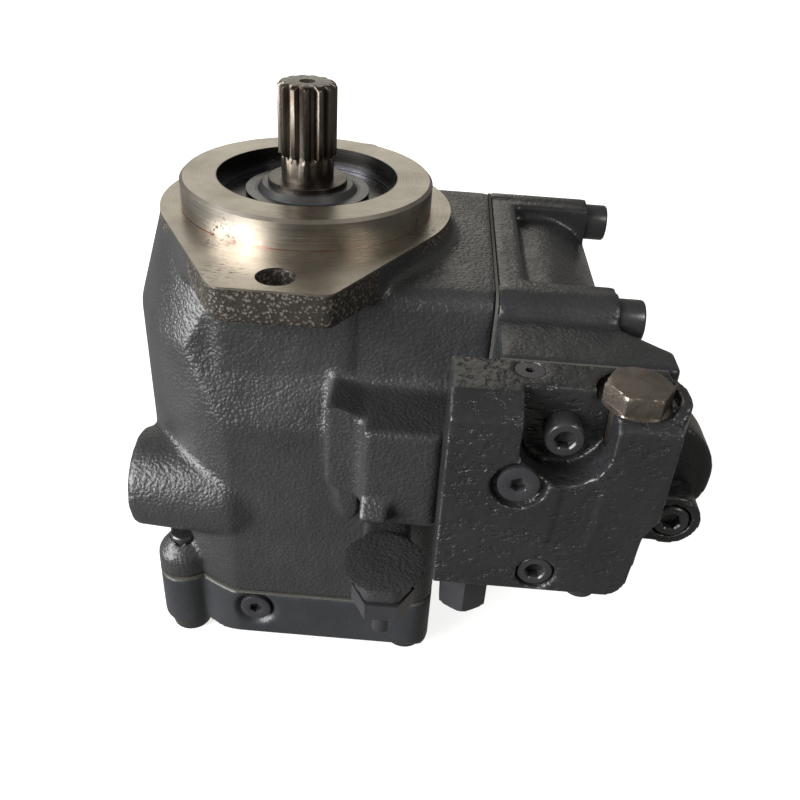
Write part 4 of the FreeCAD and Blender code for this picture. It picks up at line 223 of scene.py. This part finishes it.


# %% [markdown]
# The enamel tree itself. Its options are rubbed edges, pits and the thin-painted side of the flange, whose
# lighter specks are painted glints.

# %% Cast enamel
def cast_enamel(name, colour, grain_m, grain_depth, gloss, wear=0.0, pits=0.0, bare_edge_with_glints=False):
    """Enamel with grain of that size and depth. Gloss is the lowest and highest roughness."""
    finish, tree, shader, place = new_finish(name, colour, 0.0, 0.4)
    slow = noise(tree, place, 0.03, 2)
    spots = add_node(tree, "ShaderNodeTexVoronoi", [("Vector", place), ("Scale", 1 / grain_m)],
                     feature="SMOOTH_F1").outputs[0]
    lumps = between(tree, spots, 0.0, 0.8, 1.0, 0.0)
    grain = blend_values(tree, 0.55, noise(tree, place, grain_m, 4, 0.6), lumps)
    patches = between(tree, slow, 0.35, 0.65, gloss[0], gloss[1])
    dull = maths(tree, "ADD", patches, between(tree, grain, 0.4, 0.75, -0.05, 0.10))
    tree.links.new(dull, shader.inputs["Roughness"])
    tone = blend_colours(tree, slow, colour, [1.7 * c for c in colour])
    if wear:
        curve = add_node(tree, "ShaderNodeNewGeometry").outputs["Pointiness"]
        rubbed = between(tree, curve, 0.53, 0.60, 0.0, wear)
        broken = maths(tree, "MULTIPLY", rubbed, between(tree, noise(tree, place, 0.004), 0.4, 0.6))
        tone = blend_colours(tree, broken, tone, (0.22, 0.21, 0.20))
    if bare_edge_with_glints:
        height = add_node(tree, "ShaderNodeSeparateXYZ", [(0, place)]).outputs[2]
        ear = maths(tree, "MULTIPLY", between(tree, height, -0.0137, -0.0133), flange_side(tree, place))
        # On the flange's side: a brown tone for thin paint over iron, with lighter specks that are painted
        # glints.
        painted_glint_speck = between(tree, grain, 0.52, 0.62)
        thin_paint_and_glints = blend_colours(tree, painted_glint_speck, (0.020, 0.018, 0.015), (0.085, 0.073, 0.062))
        tone = blend_colours(tree, ear, tone, thin_paint_and_glints)
    tree.links.new(tone, shader.inputs["Base Color"])
    waves = raise_surface(tree, shader, noise(tree, place, 0.012, 2), 0.0006)
    under = raise_surface(tree, shader, grain, grain_depth, waves)
    if pits:
        pores = noise(tree, place, 0.0040, 3, stretch=(1.0, 1.0, 2.0))
        holes = between(tree, pores, 0.54, 0.72, 1.0, 0.0)
        raise_surface(tree, shader, holes, pits, under)
    shader.inputs["Specular IOR Level"].default_value = 0.35
    return finish


BLACK = (0.0125, 0.0128, 0.0138)
shoulder_enamel = cast_enamel("housing_enamel", (0.017, 0.0172, 0.018), 0.0012, 0.00040,
                              (0.30, 0.42), bare_edge_with_glints=True)
cover_enamel = cast_enamel("cover_enamel", (0.015, 0.016, 0.018), 0.0009, 0.00010, (0.34, 0.48))
servo_enamel = cast_enamel("servo_enamel", BLACK, 0.0013, 0.00022, (0.22, 0.40))
control_enamel = cast_enamel("control_enamel", (0.010, 0.0102, 0.0108), 0.0022, 0.00022,
                             (0.18, 0.34), 0.6, 0.0004)
print("four cast enamels")

# %% [markdown]
# ### Turned iron, steels and the rest
# The flange and pilot were cut on a lathe, so fine lines run round the shaft axis. Their
# distance from the axis, plus their height, drives a one-dimensional noise. Rust flecks sit
# in two patches, and a faint pink line of primer stays in the corner under the pilot.

# %% Turned iron
def turned_iron(name):
    """Bare lathe-cut iron, with painted shade inside the recess around the shaft."""
    finish, tree, shader, place = new_finish(name, (0.42, 0.39, 0.35), 1.0, 0.34)
    axes = add_node(tree, "ShaderNodeSeparateXYZ", [(0, place)]).outputs
    flat = add_node(tree, "ShaderNodeCombineXYZ", [(0, axes[0]), (1, axes[1])]).outputs[0]
    radius = add_node(tree, "ShaderNodeVectorMath", [(0, flat)], operation="LENGTH").outputs["Value"]
    track = maths(tree, "MULTIPLY", maths(tree, "ADD", radius, axes[2]), 2600)
    lines = add_node(tree, "ShaderNodeTexNoise", [("W", track), ("Scale", 1.0), ("Detail", 3.0)],
                     noise_dimensions="1D").outputs[0]
    cloud = noise(tree, place, 0.018, 4)
    tone = blend_colours(tree, between(tree, cloud, 0.35, 0.7), (0.36, 0.33, 0.29), (0.23, 0.205, 0.17))
    corner = maths(tree, "MULTIPLY", between(tree, radius, 0.0509, 0.0519, 1.0, 0.0),
                   between(tree, axes[2], 0.0002, 0.0006, 1.0, 0.0))
    corner = maths(tree, "MULTIPLY", corner, between(tree, noise(tree, place, 0.006), 0.42, 0.60, 0.0, 0.7))
    tone = blend_colours(tree, corner, tone, (0.36, 0.21, 0.18))
    flecks = between(tree, noise(tree, place, 0.0014, 3, stretch=(0.6, 1.5, 1.0)), 0.55, 0.62)
    for centre in ((-0.019, -0.072, 0), (0.050, -0.026, 0), (-0.030, 0.060, 0), (-0.026, -0.045, 0)):
        gap = add_node(tree, "ShaderNodeVectorMath", [(0, place), (1, centre)],
                       operation="DISTANCE").outputs["Value"]
        patch = maths(tree, "MULTIPLY", flecks, between(tree, gap, 0.004, 0.011, 1.0, 0.0))
        tone = blend_colours(tree, patch, tone, (0.05, 0.035, 0.028))
    # Painted shade: inside the recess around the shaft the iron is coloured nearly black.
    painted_recess_shade = between(tree, radius, 0.0364, 0.0368, 1.0, 0.0)
    tree.links.new(blend_colours(tree, painted_recess_shade, tone, (0.05, 0.048, 0.045)), shader.inputs["Base Color"])
    tree.links.new(between(tree, lines, 0.3, 0.7, 0.24, 0.40), shader.inputs["Roughness"])
    raise_surface(tree, shader, lines, 0.00002)
    return finish


flange_iron = turned_iron("turned_flange_iron")

# %% [markdown]
# Two more trees serve everything else: bare metal with stains, and a dull coat that may be
# scuffed at its edges. Each material slot of the frame then gets its finish.

# %% Steel, brass, rubber and paper
def worked_metal(name, colour, roughness, stain=None, streak=(1, 1, 1), size=0.008, bump=0.00002):
    """A bare metal whose tone and gloss vary, with stains of a second colour."""
    finish, tree, shader, place = new_finish(name, colour, 1.0, roughness)
    cloud = noise(tree, place, size, 4, stretch=streak)
    fine = noise(tree, place, size / 12, 3, stretch=streak)
    second = stain or [0.72 * c for c in colour]
    tone = blend_colours(tree, between(tree, cloud, 0.42, 0.66), colour, second)
    tree.links.new(tone, shader.inputs["Base Color"])
    tree.links.new(between(tree, fine, 0.25, 0.75, 0.8 * roughness, 1.35 * roughness),
                   shader.inputs["Roughness"])
    raise_surface(tree, shader, fine, bump)
    return finish


def dull_coat(name, colour, roughness, size, bump, scuff=None):
    """Paint, oxide, rubber or paper: no metal shows, except where it is scuffed."""
    finish, tree, shader, place = new_finish(name, colour, 0.0, roughness)
    fine = noise(tree, place, size, 4)
    tone = blend_colours(tree, noise(tree, place, size * 8), colour, [1.8 * c for c in colour])
    if scuff:
        curve = add_node(tree, "ShaderNodeNewGeometry").outputs["Pointiness"]
        rubbed = maths(tree, "MULTIPLY", between(tree, curve, 0.52, 0.62), between(tree, fine, 0.4, 0.6))
        tone = blend_colours(tree, rubbed, tone, scuff)
    tree.links.new(tone, shader.inputs["Base Color"])
    tree.links.new(between(tree, fine, 0.25, 0.75, 0.75 * roughness, 1.3 * roughness),
                   shader.inputs["Roughness"])
    raise_surface(tree, shader, fine, bump)
    return finish


shaft_steel = worked_metal("stained_shaft_steel", (0.10, 0.088, 0.076), 0.34,
                           (0.045, 0.034, 0.027), (1, 1, 0.35))
plug_steel = worked_metal("phosphated_plug_steel", (0.20, 0.175, 0.15), 0.42, (0.13, 0.11, 0.095))
oxide = dull_coat("black_oxide", (0.014, 0.014, 0.015), 0.26, 0.0008, 0.00003)
plug_enamel = dull_coat("plug_enamel", (0.015, 0.015, 0.017), 0.26, 0.0012, 0.00004)
rubber = dull_coat("seal_rubber", (0.014, 0.014, 0.015), 0.36, 0.0010, 0.00002)
FINISHES = {
    "painted_iron": shoulder_enamel,
    "machined_iron": flange_iron,
    "black_oxide_steel": oxide,
    "painted_steel": plug_enamel,
    "phosphated_steel": plug_steel,
    "ground_steel": shaft_steel,
    "bearing_steel": worked_metal("bearing_steel", (0.60, 0.60, 0.61), 0.16),
    "cage_brass": worked_metal("cage_brass", (0.62, 0.45, 0.22), 0.28),
    "hardened_steel": worked_metal("hardened_steel", (0.42, 0.42, 0.43), 0.22),
    "bronze": worked_metal("port_bronze", (0.52, 0.34, 0.17), 0.26),
    "spring_steel": worked_metal("spring_steel", (0.20, 0.20, 0.22), 0.32),
    "carrier_steel": worked_metal("oiled_carrier_steel", (0.085, 0.085, 0.09), 0.24, size=0.015),
    "seal_rubber": rubber,
    "gasket_paper": dull_coat("gasket_paper", (0.035, 0.034, 0.030), 0.75, 0.0009, 0.00006),
}
for entry in frame["record"]["subparts"]:
    part = frame["nodes"][entry["node"]]
    part.data.materials.clear()
    part.data.materials.append(FINISHES[entry["material_slot"]])

# %% [markdown]
# ## The castings
# A casting has no sharp corners: the sand mould rounds every edge and fills every inside
# corner. Rounding them one by one with bevels breaks down where many faces meet. Here a voxel
# remesh wraps the whole solid in an even skin and a smoothing pass melts its edges. Faces that
# are machined after casting are then cut fresh, as in the workshop.

# %% Wrap a part in a cast skin
def keep_side(obj, height, keep_below):
    """Cut the piece at a height in metres, keep one side and close the cut."""
    bm = bmesh.new()
    bm.from_mesh(obj.data)
    every = bm.verts[:] + bm.edges[:] + bm.faces[:]
    bmesh.ops.bisect_plane(bm, geom=every, dist=1e-7, plane_co=(0, 0, height), plane_no=(0, 0, 1),
                           clear_outer=keep_below, clear_inner=not keep_below)
    rim = [e for e in bm.edges if e.is_boundary]
    bmesh.ops.triangle_fill(bm, edges=rim, use_beauty=True, normal=(0, 0, 1 if keep_below else -1))
    bmesh.ops.recalc_face_normals(bm, faces=bm.faces)
    bm.to_mesh(obj.data)
    bm.free()
    return obj


def lift_cap(obj, height, rise):
    """Cut the piece at a height, and lift the flat cap so that its rim stays clear of the wrap."""
    keep_side(obj, height, keep_below=True)
    for vertex in obj.data.vertices:
        if vertex.co.z > height - 1e-5:
            vertex.co.z += rise
    return obj


def wrap_skin(obj, voxel, passes):
    """Wrap the object in an even skin and melt its edges."""
    wrap = obj.modifiers.new("wrap", "REMESH")
    wrap.mode = "VOXEL"
    wrap.voxel_size = voxel
    melt = obj.modifiers.new("melt", "SMOOTH")
    melt.factor = 0.5
    melt.iterations = passes
    return apply_modifiers(obj)


plate_depth = 0.8 * MM
casting = lift_cap(add_object("housing_casting", welded("main_housing")), -plate_depth, 6 * MM)
casting = keep_side(wrap_skin(casting, 1.6 * MM, 4), -plate_depth, keep_below=True)
hand_over(shade(casting, 50), HOUSING, "painted_iron", shoulder_enamel, "main_housing")
flange = keep_side(add_object("mounting_flange", welded("main_housing")), -plate_depth, keep_below=False)
hand_over(shade(flange), HOUSING, "machined_iron", flange_iron)

# %% [markdown]
# The smaller castings are wrapped whole, each with a skin fine enough for its own edges.

# %% The other castings
for name, part, voxel, passes, enamel in (
        ("end_cover_casting", "end_cover", 1.3 * MM, 4, cover_enamel),
        ("servo_casting", "servo_housing", 1.3 * MM, 4, servo_enamel),
        ("control_casting", "control_block", 0.9 * MM, 3, control_enamel)):
    skin = wrap_skin(add_object(name, welded(part)), voxel, passes)
    hand_over(shade(skin, 50), HOUSING, "painted_iron", enamel, part)

# %% [markdown]
# ## Turned and hexagonal pieces
# Plugs, nuts, screws and the shaft are all stacks of rings: a circle, a hexagon cut by a circle,
# or the toothed outline of a spline. One function joins such rings into a closed skin. It gives
# clean chamfers and sockets with few faces, where cutting solids from each other would not.

# %% Join rings into a skin
def circle_or_hexagon(angle, radius, flats):
    """A circle, or a hexagon of that width across flats with its corners cut by the circle."""
    if not flats:
        return radius
    return min(radius, flats / 2 / math.cos(angle % (math.pi / 3) - math.pi / 6))


def ring_stack(rings, steps=48, outline=circle_or_hexagon):
    """A mesh along +Z from rings of (height, two sizes for the outline), all in millimetres."""
    bm = bmesh.new()
    loops = []
    for height, first, second in rings:
        loop = []
        for step in range(steps):
            angle = math.tau * step / steps
            reach = outline(angle, first, second)
            corner = (reach * math.cos(angle) * MM, reach * math.sin(angle) * MM, height * MM)
            loop.append(bm.verts.new(corner))
        loops.append(loop)
    for low, high in zip(loops, loops[1:]):
        for step in range(steps):
            after = (step + 1) % steps
            bm.faces.new((low[step], low[after], high[after], high[step]))
    bm.faces.new(loops[0])
    bm.faces.new(loops[-1])
    bmesh.ops.recalc_face_normals(bm, faces=bm.faces)
    mesh = bpy.data.meshes.new("ring_stack")
    bm.to_mesh(mesh)
    bm.free()
    return mesh


def stand_at(mesh, place, aim=(0, 0, 1), turn=0.0):
    """Move a mesh so that its origin is at the place and its +Z points along the aim."""
    lean = Vector(aim).to_track_quat("Z", "Y").to_matrix().to_4x4()
    mesh.transform(Matrix.Translation(place) @ lean @ Matrix.Rotation(turn, 4, "Z"))
    return mesh


# %% [markdown]
# A part such as a set of screws holds several solids. Walking along the edges from one vertex
# until nothing new turns up finds one solid, and its box tells where it stands. The search
# starts anywhere, so the boxes are sorted by place: each run then turns each screw the same way.

# %% Find the separate solids of a part
def solid_boxes(part):
    """The lowest and highest corner of each separate solid in a part of the frame."""
    bm = bmesh.new()
    bm.from_mesh(welded(part))
    waiting = set(bm.verts)
    boxes = []
    while waiting:
        edge_of_search = [waiting.pop()]
        found = []
        while edge_of_search:
            vertex = edge_of_search.pop()
            found.append(vertex.co.copy())
            for edge in vertex.link_edges:
                other = edge.other_vert(vertex)
                if other in waiting:
                    waiting.discard(other)
                    edge_of_search.append(other)
        boxes.append((Vector(min(p[i] for p in found) for i in range(3)),
                      Vector(max(p[i] for p in found) for i in range(3))))
    bm.free()
    return sorted(boxes, key=lambda box: [round(value, 5) for value in box[0]])


def end_point(box, aim):
    """The middle of the box's end that the aim points to."""
    low, high = box
    return Vector([(high[i] if a > 0 else low[i]) if a else (low[i] + high[i]) / 2
                   for i, a in enumerate(aim)])


# %% [markdown]
# ## Screws on their holes
# Fifteen socket screws in four sizes hold the castings together. One screw is made per size,
# and a Geometry Nodes tree sets it on every hole of a part with the right lean and its own
# turn, as a fitter would leave it. A copied screw costs nothing until the end, when the tree
# makes the copies real so that they can be exported.

# %% The tree that sets screws on points
def screw_tree():
    """Points in, real screws out."""
    tree = bpy.data.node_groups.new("screws_on_holes", "GeometryNodeTree")
    for label, kind in (("Holes", "Geometry"), ("Screw", "Object"), ("Lean", "Vector"),
                        ("Seed", "Int"), ("Finish", "Material")):
        tree.interface.new_socket(label, in_out="INPUT", socket_type="NodeSocket" + kind)
    tree.interface.new_socket("Screws", in_out="OUTPUT", socket_type="NodeSocketGeometry")
    given = add_node(tree, "NodeGroupInput").outputs
    screw = add_node(tree, "GeometryNodeObjectInfo", [("Object", given["Screw"])]).outputs["Geometry"]
    lean = add_node(tree, "FunctionNodeEulerToRotation", [(0, given["Lean"])]).outputs[0]
    chance = add_node(tree, "FunctionNodeRandomValue",
                      [(2, 0.0), (3, math.tau), (8, given["Seed"])], data_type="FLOAT").outputs[1]
    turn = add_node(tree, "ShaderNodeCombineXYZ", [(2, chance)]).outputs[0]
    turn = add_node(tree, "FunctionNodeEulerToRotation", [(0, turn)]).outputs[0]
    aimed = add_node(tree, "FunctionNodeRotateRotation", [(0, lean), (1, turn)],
                     rotation_space="LOCAL").outputs[0]
    copies = add_node(tree, "GeometryNodeInstanceOnPoints", [
        ("Points", given["Holes"]), ("Instance", screw), ("Rotation", aimed)]).outputs[0]
    real = add_node(tree, "GeometryNodeRealizeInstances", [(0, copies)]).outputs[0]
    painted = add_node(tree, "GeometryNodeSetMaterial", [(0, real), ("Material", given["Finish"])]).outputs[0]
    add_node(tree, "NodeGroupOutput", [(0, painted)])
    return tree


def set_inputs(modifier, values):
    """Set a tree's named inputs through their identifiers."""
    for item in modifier.node_group.interface.items_tree:
        if item.item_type == "SOCKET" and item.in_out == "INPUT" and item.name in values:
            modifier[item.identifier] = values[item.name]


SCREWS = screw_tree()

# %% [markdown]
# Each set of screws gets its head, key and shank sizes in millimetres, and the way it points.

# %% The screws
def socket_screw_rings(head, height, key, shank, length):
    """Rings of a socket screw whose head's top is at nought."""
    return [(-length, shank - 0.6, 0), (-length + 0.6, shank, 0), (-height, shank, 0),
            (-height, head - 0.3, 0), (-height + 0.3, head, 0), (-1.1, head, 0), (-0.5, head - 0.2, 0),
            (-0.12, head - 0.6, 0), (0, head - 1.2, 0), (0, key * 0.62, 0), (-0.5, key * 0.578, key),
            (-0.5 * height, key * 0.578, key), (-0.5 * height - 0.15 * key, 0.2, 0)]


for seed, (name, part, aim, head, height, key, shank) in enumerate((
        ("end_cover_socket_screws", "end_cover_screws", (0, 0, -1), 9, 12, 10, 6),
        ("servo_socket_screws", "servo_housing_screws", (1, 0, 0), 8, 10, 8, 5),
        ("servo_cover_socket_screws", "servo_cover_screws", (0, 1, 0), 4.25, 5, 4, 2.5),
        ("control_socket_screws", "control_screws", (0, -1, 0), 6.5, 8, 6, 4))):
    boxes = solid_boxes(part)
    along = [abs(a) for a in aim].index(1)
    length = min(high[along] - low[along] for low, high in boxes) / MM
    one = bpy.data.objects.new("one_screw", ring_stack(socket_screw_rings(head, height, key, shank, length)))
    holes = bpy.data.meshes.new("holes")
    holes.from_pydata([tuple(end_point(box, aim)) for box in boxes], [], [])
    screws = add_object(name, holes)
    setter = screws.modifiers.new("screws", "NODES")
    setter.node_group = SCREWS
    set_inputs(setter, {"Screw": one, "Lean": Vector(aim).to_track_quat("Z", "Y").to_euler(),
                        "Seed": seed + 3, "Finish": oxide})
    apply_modifiers(screws)
    bpy.data.objects.remove(one)
    hand_over(shade(screws), HOUSING, "black_oxide_steel", oxide, part)

# %% [markdown]
# ## Plugs and nuts
# The closing plugs have hexagonal heads with their corners turned off, and each ends in the
# thread that fills its hole. The big one on top was never painted: it shows a grey-brown
# phosphate coat.

# %% Hexagonal plugs
def plug_on(name, part, aim, head, flats, corner, thread, slot, finish, turn=0.0):
    """A hexagonal plug that stands where the part does: head height and sizes in millimetres."""
    low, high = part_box(part)
    length = (high.z - low.z) / MM
    rings = [(-length, thread, 0), (-head, thread, 0), (-head, corner, 0), (-head + 0.5, corner + 0.3, flats),
             (-2.0, corner + 0.3, flats), (-1.2, corner + 0.1, flats), (-0.45, corner - 0.8, flats),
             (-0.1, corner - 1.5, flats), (0, corner - 2.2, flats)]
    mesh = stand_at(ring_stack(rings, 72), end_point((low, high), aim), aim, turn)
    hand_over(shade(add_object(name, mesh), 25), HOUSING, slot, finish, part)


plug_on("relief_valve_plug", "relief_plug", (0, 0, 1), 7.5, 19.5, 11.26, 8, "phosphated_steel", plug_steel)
plug_on("test_port_hex_plug", "test_port_plug", (0, 0, -1), 20.5, 17, 9.8, 6.5, "painted_steel", plug_enamel,
        math.radians(30))


def fill_socket_plugs():
    """The flush plugs with a small hexagon socket, on the control block and the end cover."""
    bm = bmesh.new()
    for box in solid_boxes("socket_plugs"):
        rings = [(-10.4, 5, 0), (-2.4, 5, 0), (-2.4, 6.8, 0), (-2.2, 7, 0), (-0.5, 7, 0), (-0.15, 6.8, 0),
                 (0, 6.4, 0), (0, 3.2, 0), (-0.3, 2.89, 5), (-3.2, 2.89, 5), (-4.2, 0.2, 0)]
        mesh = stand_at(ring_stack(rings), end_point(box, (0, -1, 0)), (0, -1, 0), 0.4)
        bm.from_mesh(mesh)
    both = bpy.data.meshes.new("flush_plugs")
    bm.to_mesh(both)
    bm.free()
    hand_over(shade(add_object("flush_socket_plugs", both)), HOUSING, "painted_steel", plug_enamel,
              "socket_plugs")


fill_socket_plugs()

# %% [markdown]
# ## The splined shaft
# Thirteen straight teeth run round the shaft's end, and their grooves fade out into the plain
# neck below. The toothed outline is a rule of the angle, so the same ring function makes it.
# The lower part of the shaft, inside the pump, is the frame's own shape.

# %% Splined end on the frame's shaft
TEETH = 13


def spline_outline(angle, crest, root):
    """A tooth with a narrow crest and sloping flanks."""
    across = abs((angle * TEETH / math.tau) % 1 - 0.5) * 2
    flank = min(1, max(0, (across - 0.30) / 0.34))
    return root + (crest - root) * flank


shaft_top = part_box("drive_shaft")[1].z / MM
neck = 10.3
shaft_rings = [(neck, 10.5, 10.5), (17.6, 10.5, 10.5), (18.6, 10.5, 9.95), (19.9, 10.5, 9.5),
               (20.2, 11.4, 9.4),
               (20.6, 11.6, 9.3), (shaft_top - 1.6, 11.6, 9.3), (shaft_top - 0.9, 11.2, 9.3),
               (shaft_top - 0.2, 10.3, 9.2), (shaft_top, 9.9, 9.1), (shaft_top, 3.2, 3.2),
               (shaft_top - 1.0, 2.2, 2.2), (shaft_top - 5, 2.0, 2.0), (shaft_top - 6, 0.2, 0.2)]
lower_shaft = keep_side(add_object("splined_shaft", welded("drive_shaft")), neck * MM, keep_below=True)
bm = bmesh.new()
bm.from_mesh(lower_shaft.data)
bm.from_mesh(ring_stack(shaft_rings, TEETH * 14, spline_outline))
bm.to_mesh(lower_shaft.data)
bm.free()
hand_over(shade(lower_shaft, 35), SHAFT, "ground_steel", shaft_steel, "drive_shaft")

# %% [markdown]
# ## The studio
# A white floor glows by itself, so that it stays pale without throwing light on the pump. Its glow is lower
# near the pump, a painted shadow.

# %% Floor
bounds_low = Vector(cad_box[0])
floor_size = 12.0
floor_mesh = bpy.data.meshes.new("studio_floor")
half = floor_size / 2
floor_mesh.from_pydata([(-half, -half, 0), (half, -half, 0), (half, half, 0), (-half, half, 0)],
                       [], [(0, 1, 2, 3)])
floor_mesh.transform(Matrix.Translation((0, 0, bounds_low.z - 0.0005)))
studio_floor = add_object("studio_floor", floor_mesh)
floor_finish, floor_tree, floor_shader, floor_place = new_finish("floor_paper", (0.40, 0.40, 0.40), 0.0, 0.9)
floor_shader.inputs["Emission Color"].default_value = (1, 1, 1, 1)
floor_axes = add_node(floor_tree, "ShaderNodeVectorMath", [(0, floor_place)], operation="LENGTH")
# Painted shadow: the glow is lowest near the pump and full further out.
glow_with_painted_shadow = between(floor_tree, floor_axes.outputs["Value"], 0.15, 0.8, 0.72, 1.0)
floor_tree.links.new(glow_with_painted_shadow, floor_shader.inputs["Emission Strength"])
floor_mesh.materials.append(floor_finish)
studio_floor.visible_diffuse = studio_floor.visible_glossy = False

# %% [markdown]
# A large window stands to the left, a small box to the right and a warm wall behind. A faint
# even surround fills the shadows.

# %% Lights
def soft_box(name, place, aim, size, watts, colour=(1, 1, 1)):
    """A square area light that looks at a point."""
    lamp = bpy.data.lights.new(name, "AREA")
    lamp.shape = "SQUARE"
    lamp.size = size
    lamp.energy = watts
    lamp.color = colour
    obj = bpy.data.objects.new(name, lamp)
    obj.location = place
    obj.rotation_euler = (Vector(aim) - Vector(place)).to_track_quat("-Z", "Y").to_euler()
    obj.visible_camera = False
    bpy.context.scene.collection.objects.link(obj)


middle = (0.04, -0.02, -0.06)
soft_box("left_window", (-1.12, -0.78, 0.30), middle, 1.2, 82)
soft_box("right_box", (0.95, -0.65, 0.85), middle, 0.35, 7, (1, 0.97, 0.93))
soft_box("back_wall", (-0.35, 1.5, 0.62), middle, 1.3, 5, (1, 0.96, 0.84))
world = bpy.data.worlds.new("pale_surround")
world.use_nodes = True
world.node_tree.nodes["Background"].inputs[0].default_value = (0.96, 0.93, 0.86, 1)
world.node_tree.nodes["Background"].inputs[1].default_value = 0.27
bpy.context.scene.world = world
bpy.context.scene.view_settings.view_transform = "Standard"

# %% [markdown]
# The camera stands in front and above, looks down by about a third of a right angle and leans
# a little to one side.

# %% Camera
pitch, yaw, roll = (math.radians(a) for a in (33.51, -1.27, 3.85))
forward = Vector((math.sin(yaw) * math.cos(pitch), math.cos(yaw) * math.cos(pitch), -math.sin(pitch)))
level = Vector((math.cos(yaw), -math.sin(yaw), 0))
above = level.cross(forward)
right = math.cos(roll) * level + math.sin(roll) * above
upward = -math.sin(roll) * level + math.cos(roll) * above
lens = bpy.data.cameras.new("view")
lens.sensor_width = 36
lens.lens = 38.1015
lens.clip_start = 0.01
camera = bpy.data.objects.new("view", lens)
camera.matrix_world = Matrix.Translation((0.05079, -0.33362, 0.12646)) @ Matrix(
    (right, upward, -forward)).transposed().to_4x4()
bpy.context.scene.collection.objects.link(camera)
bpy.context.scene.camera = camera
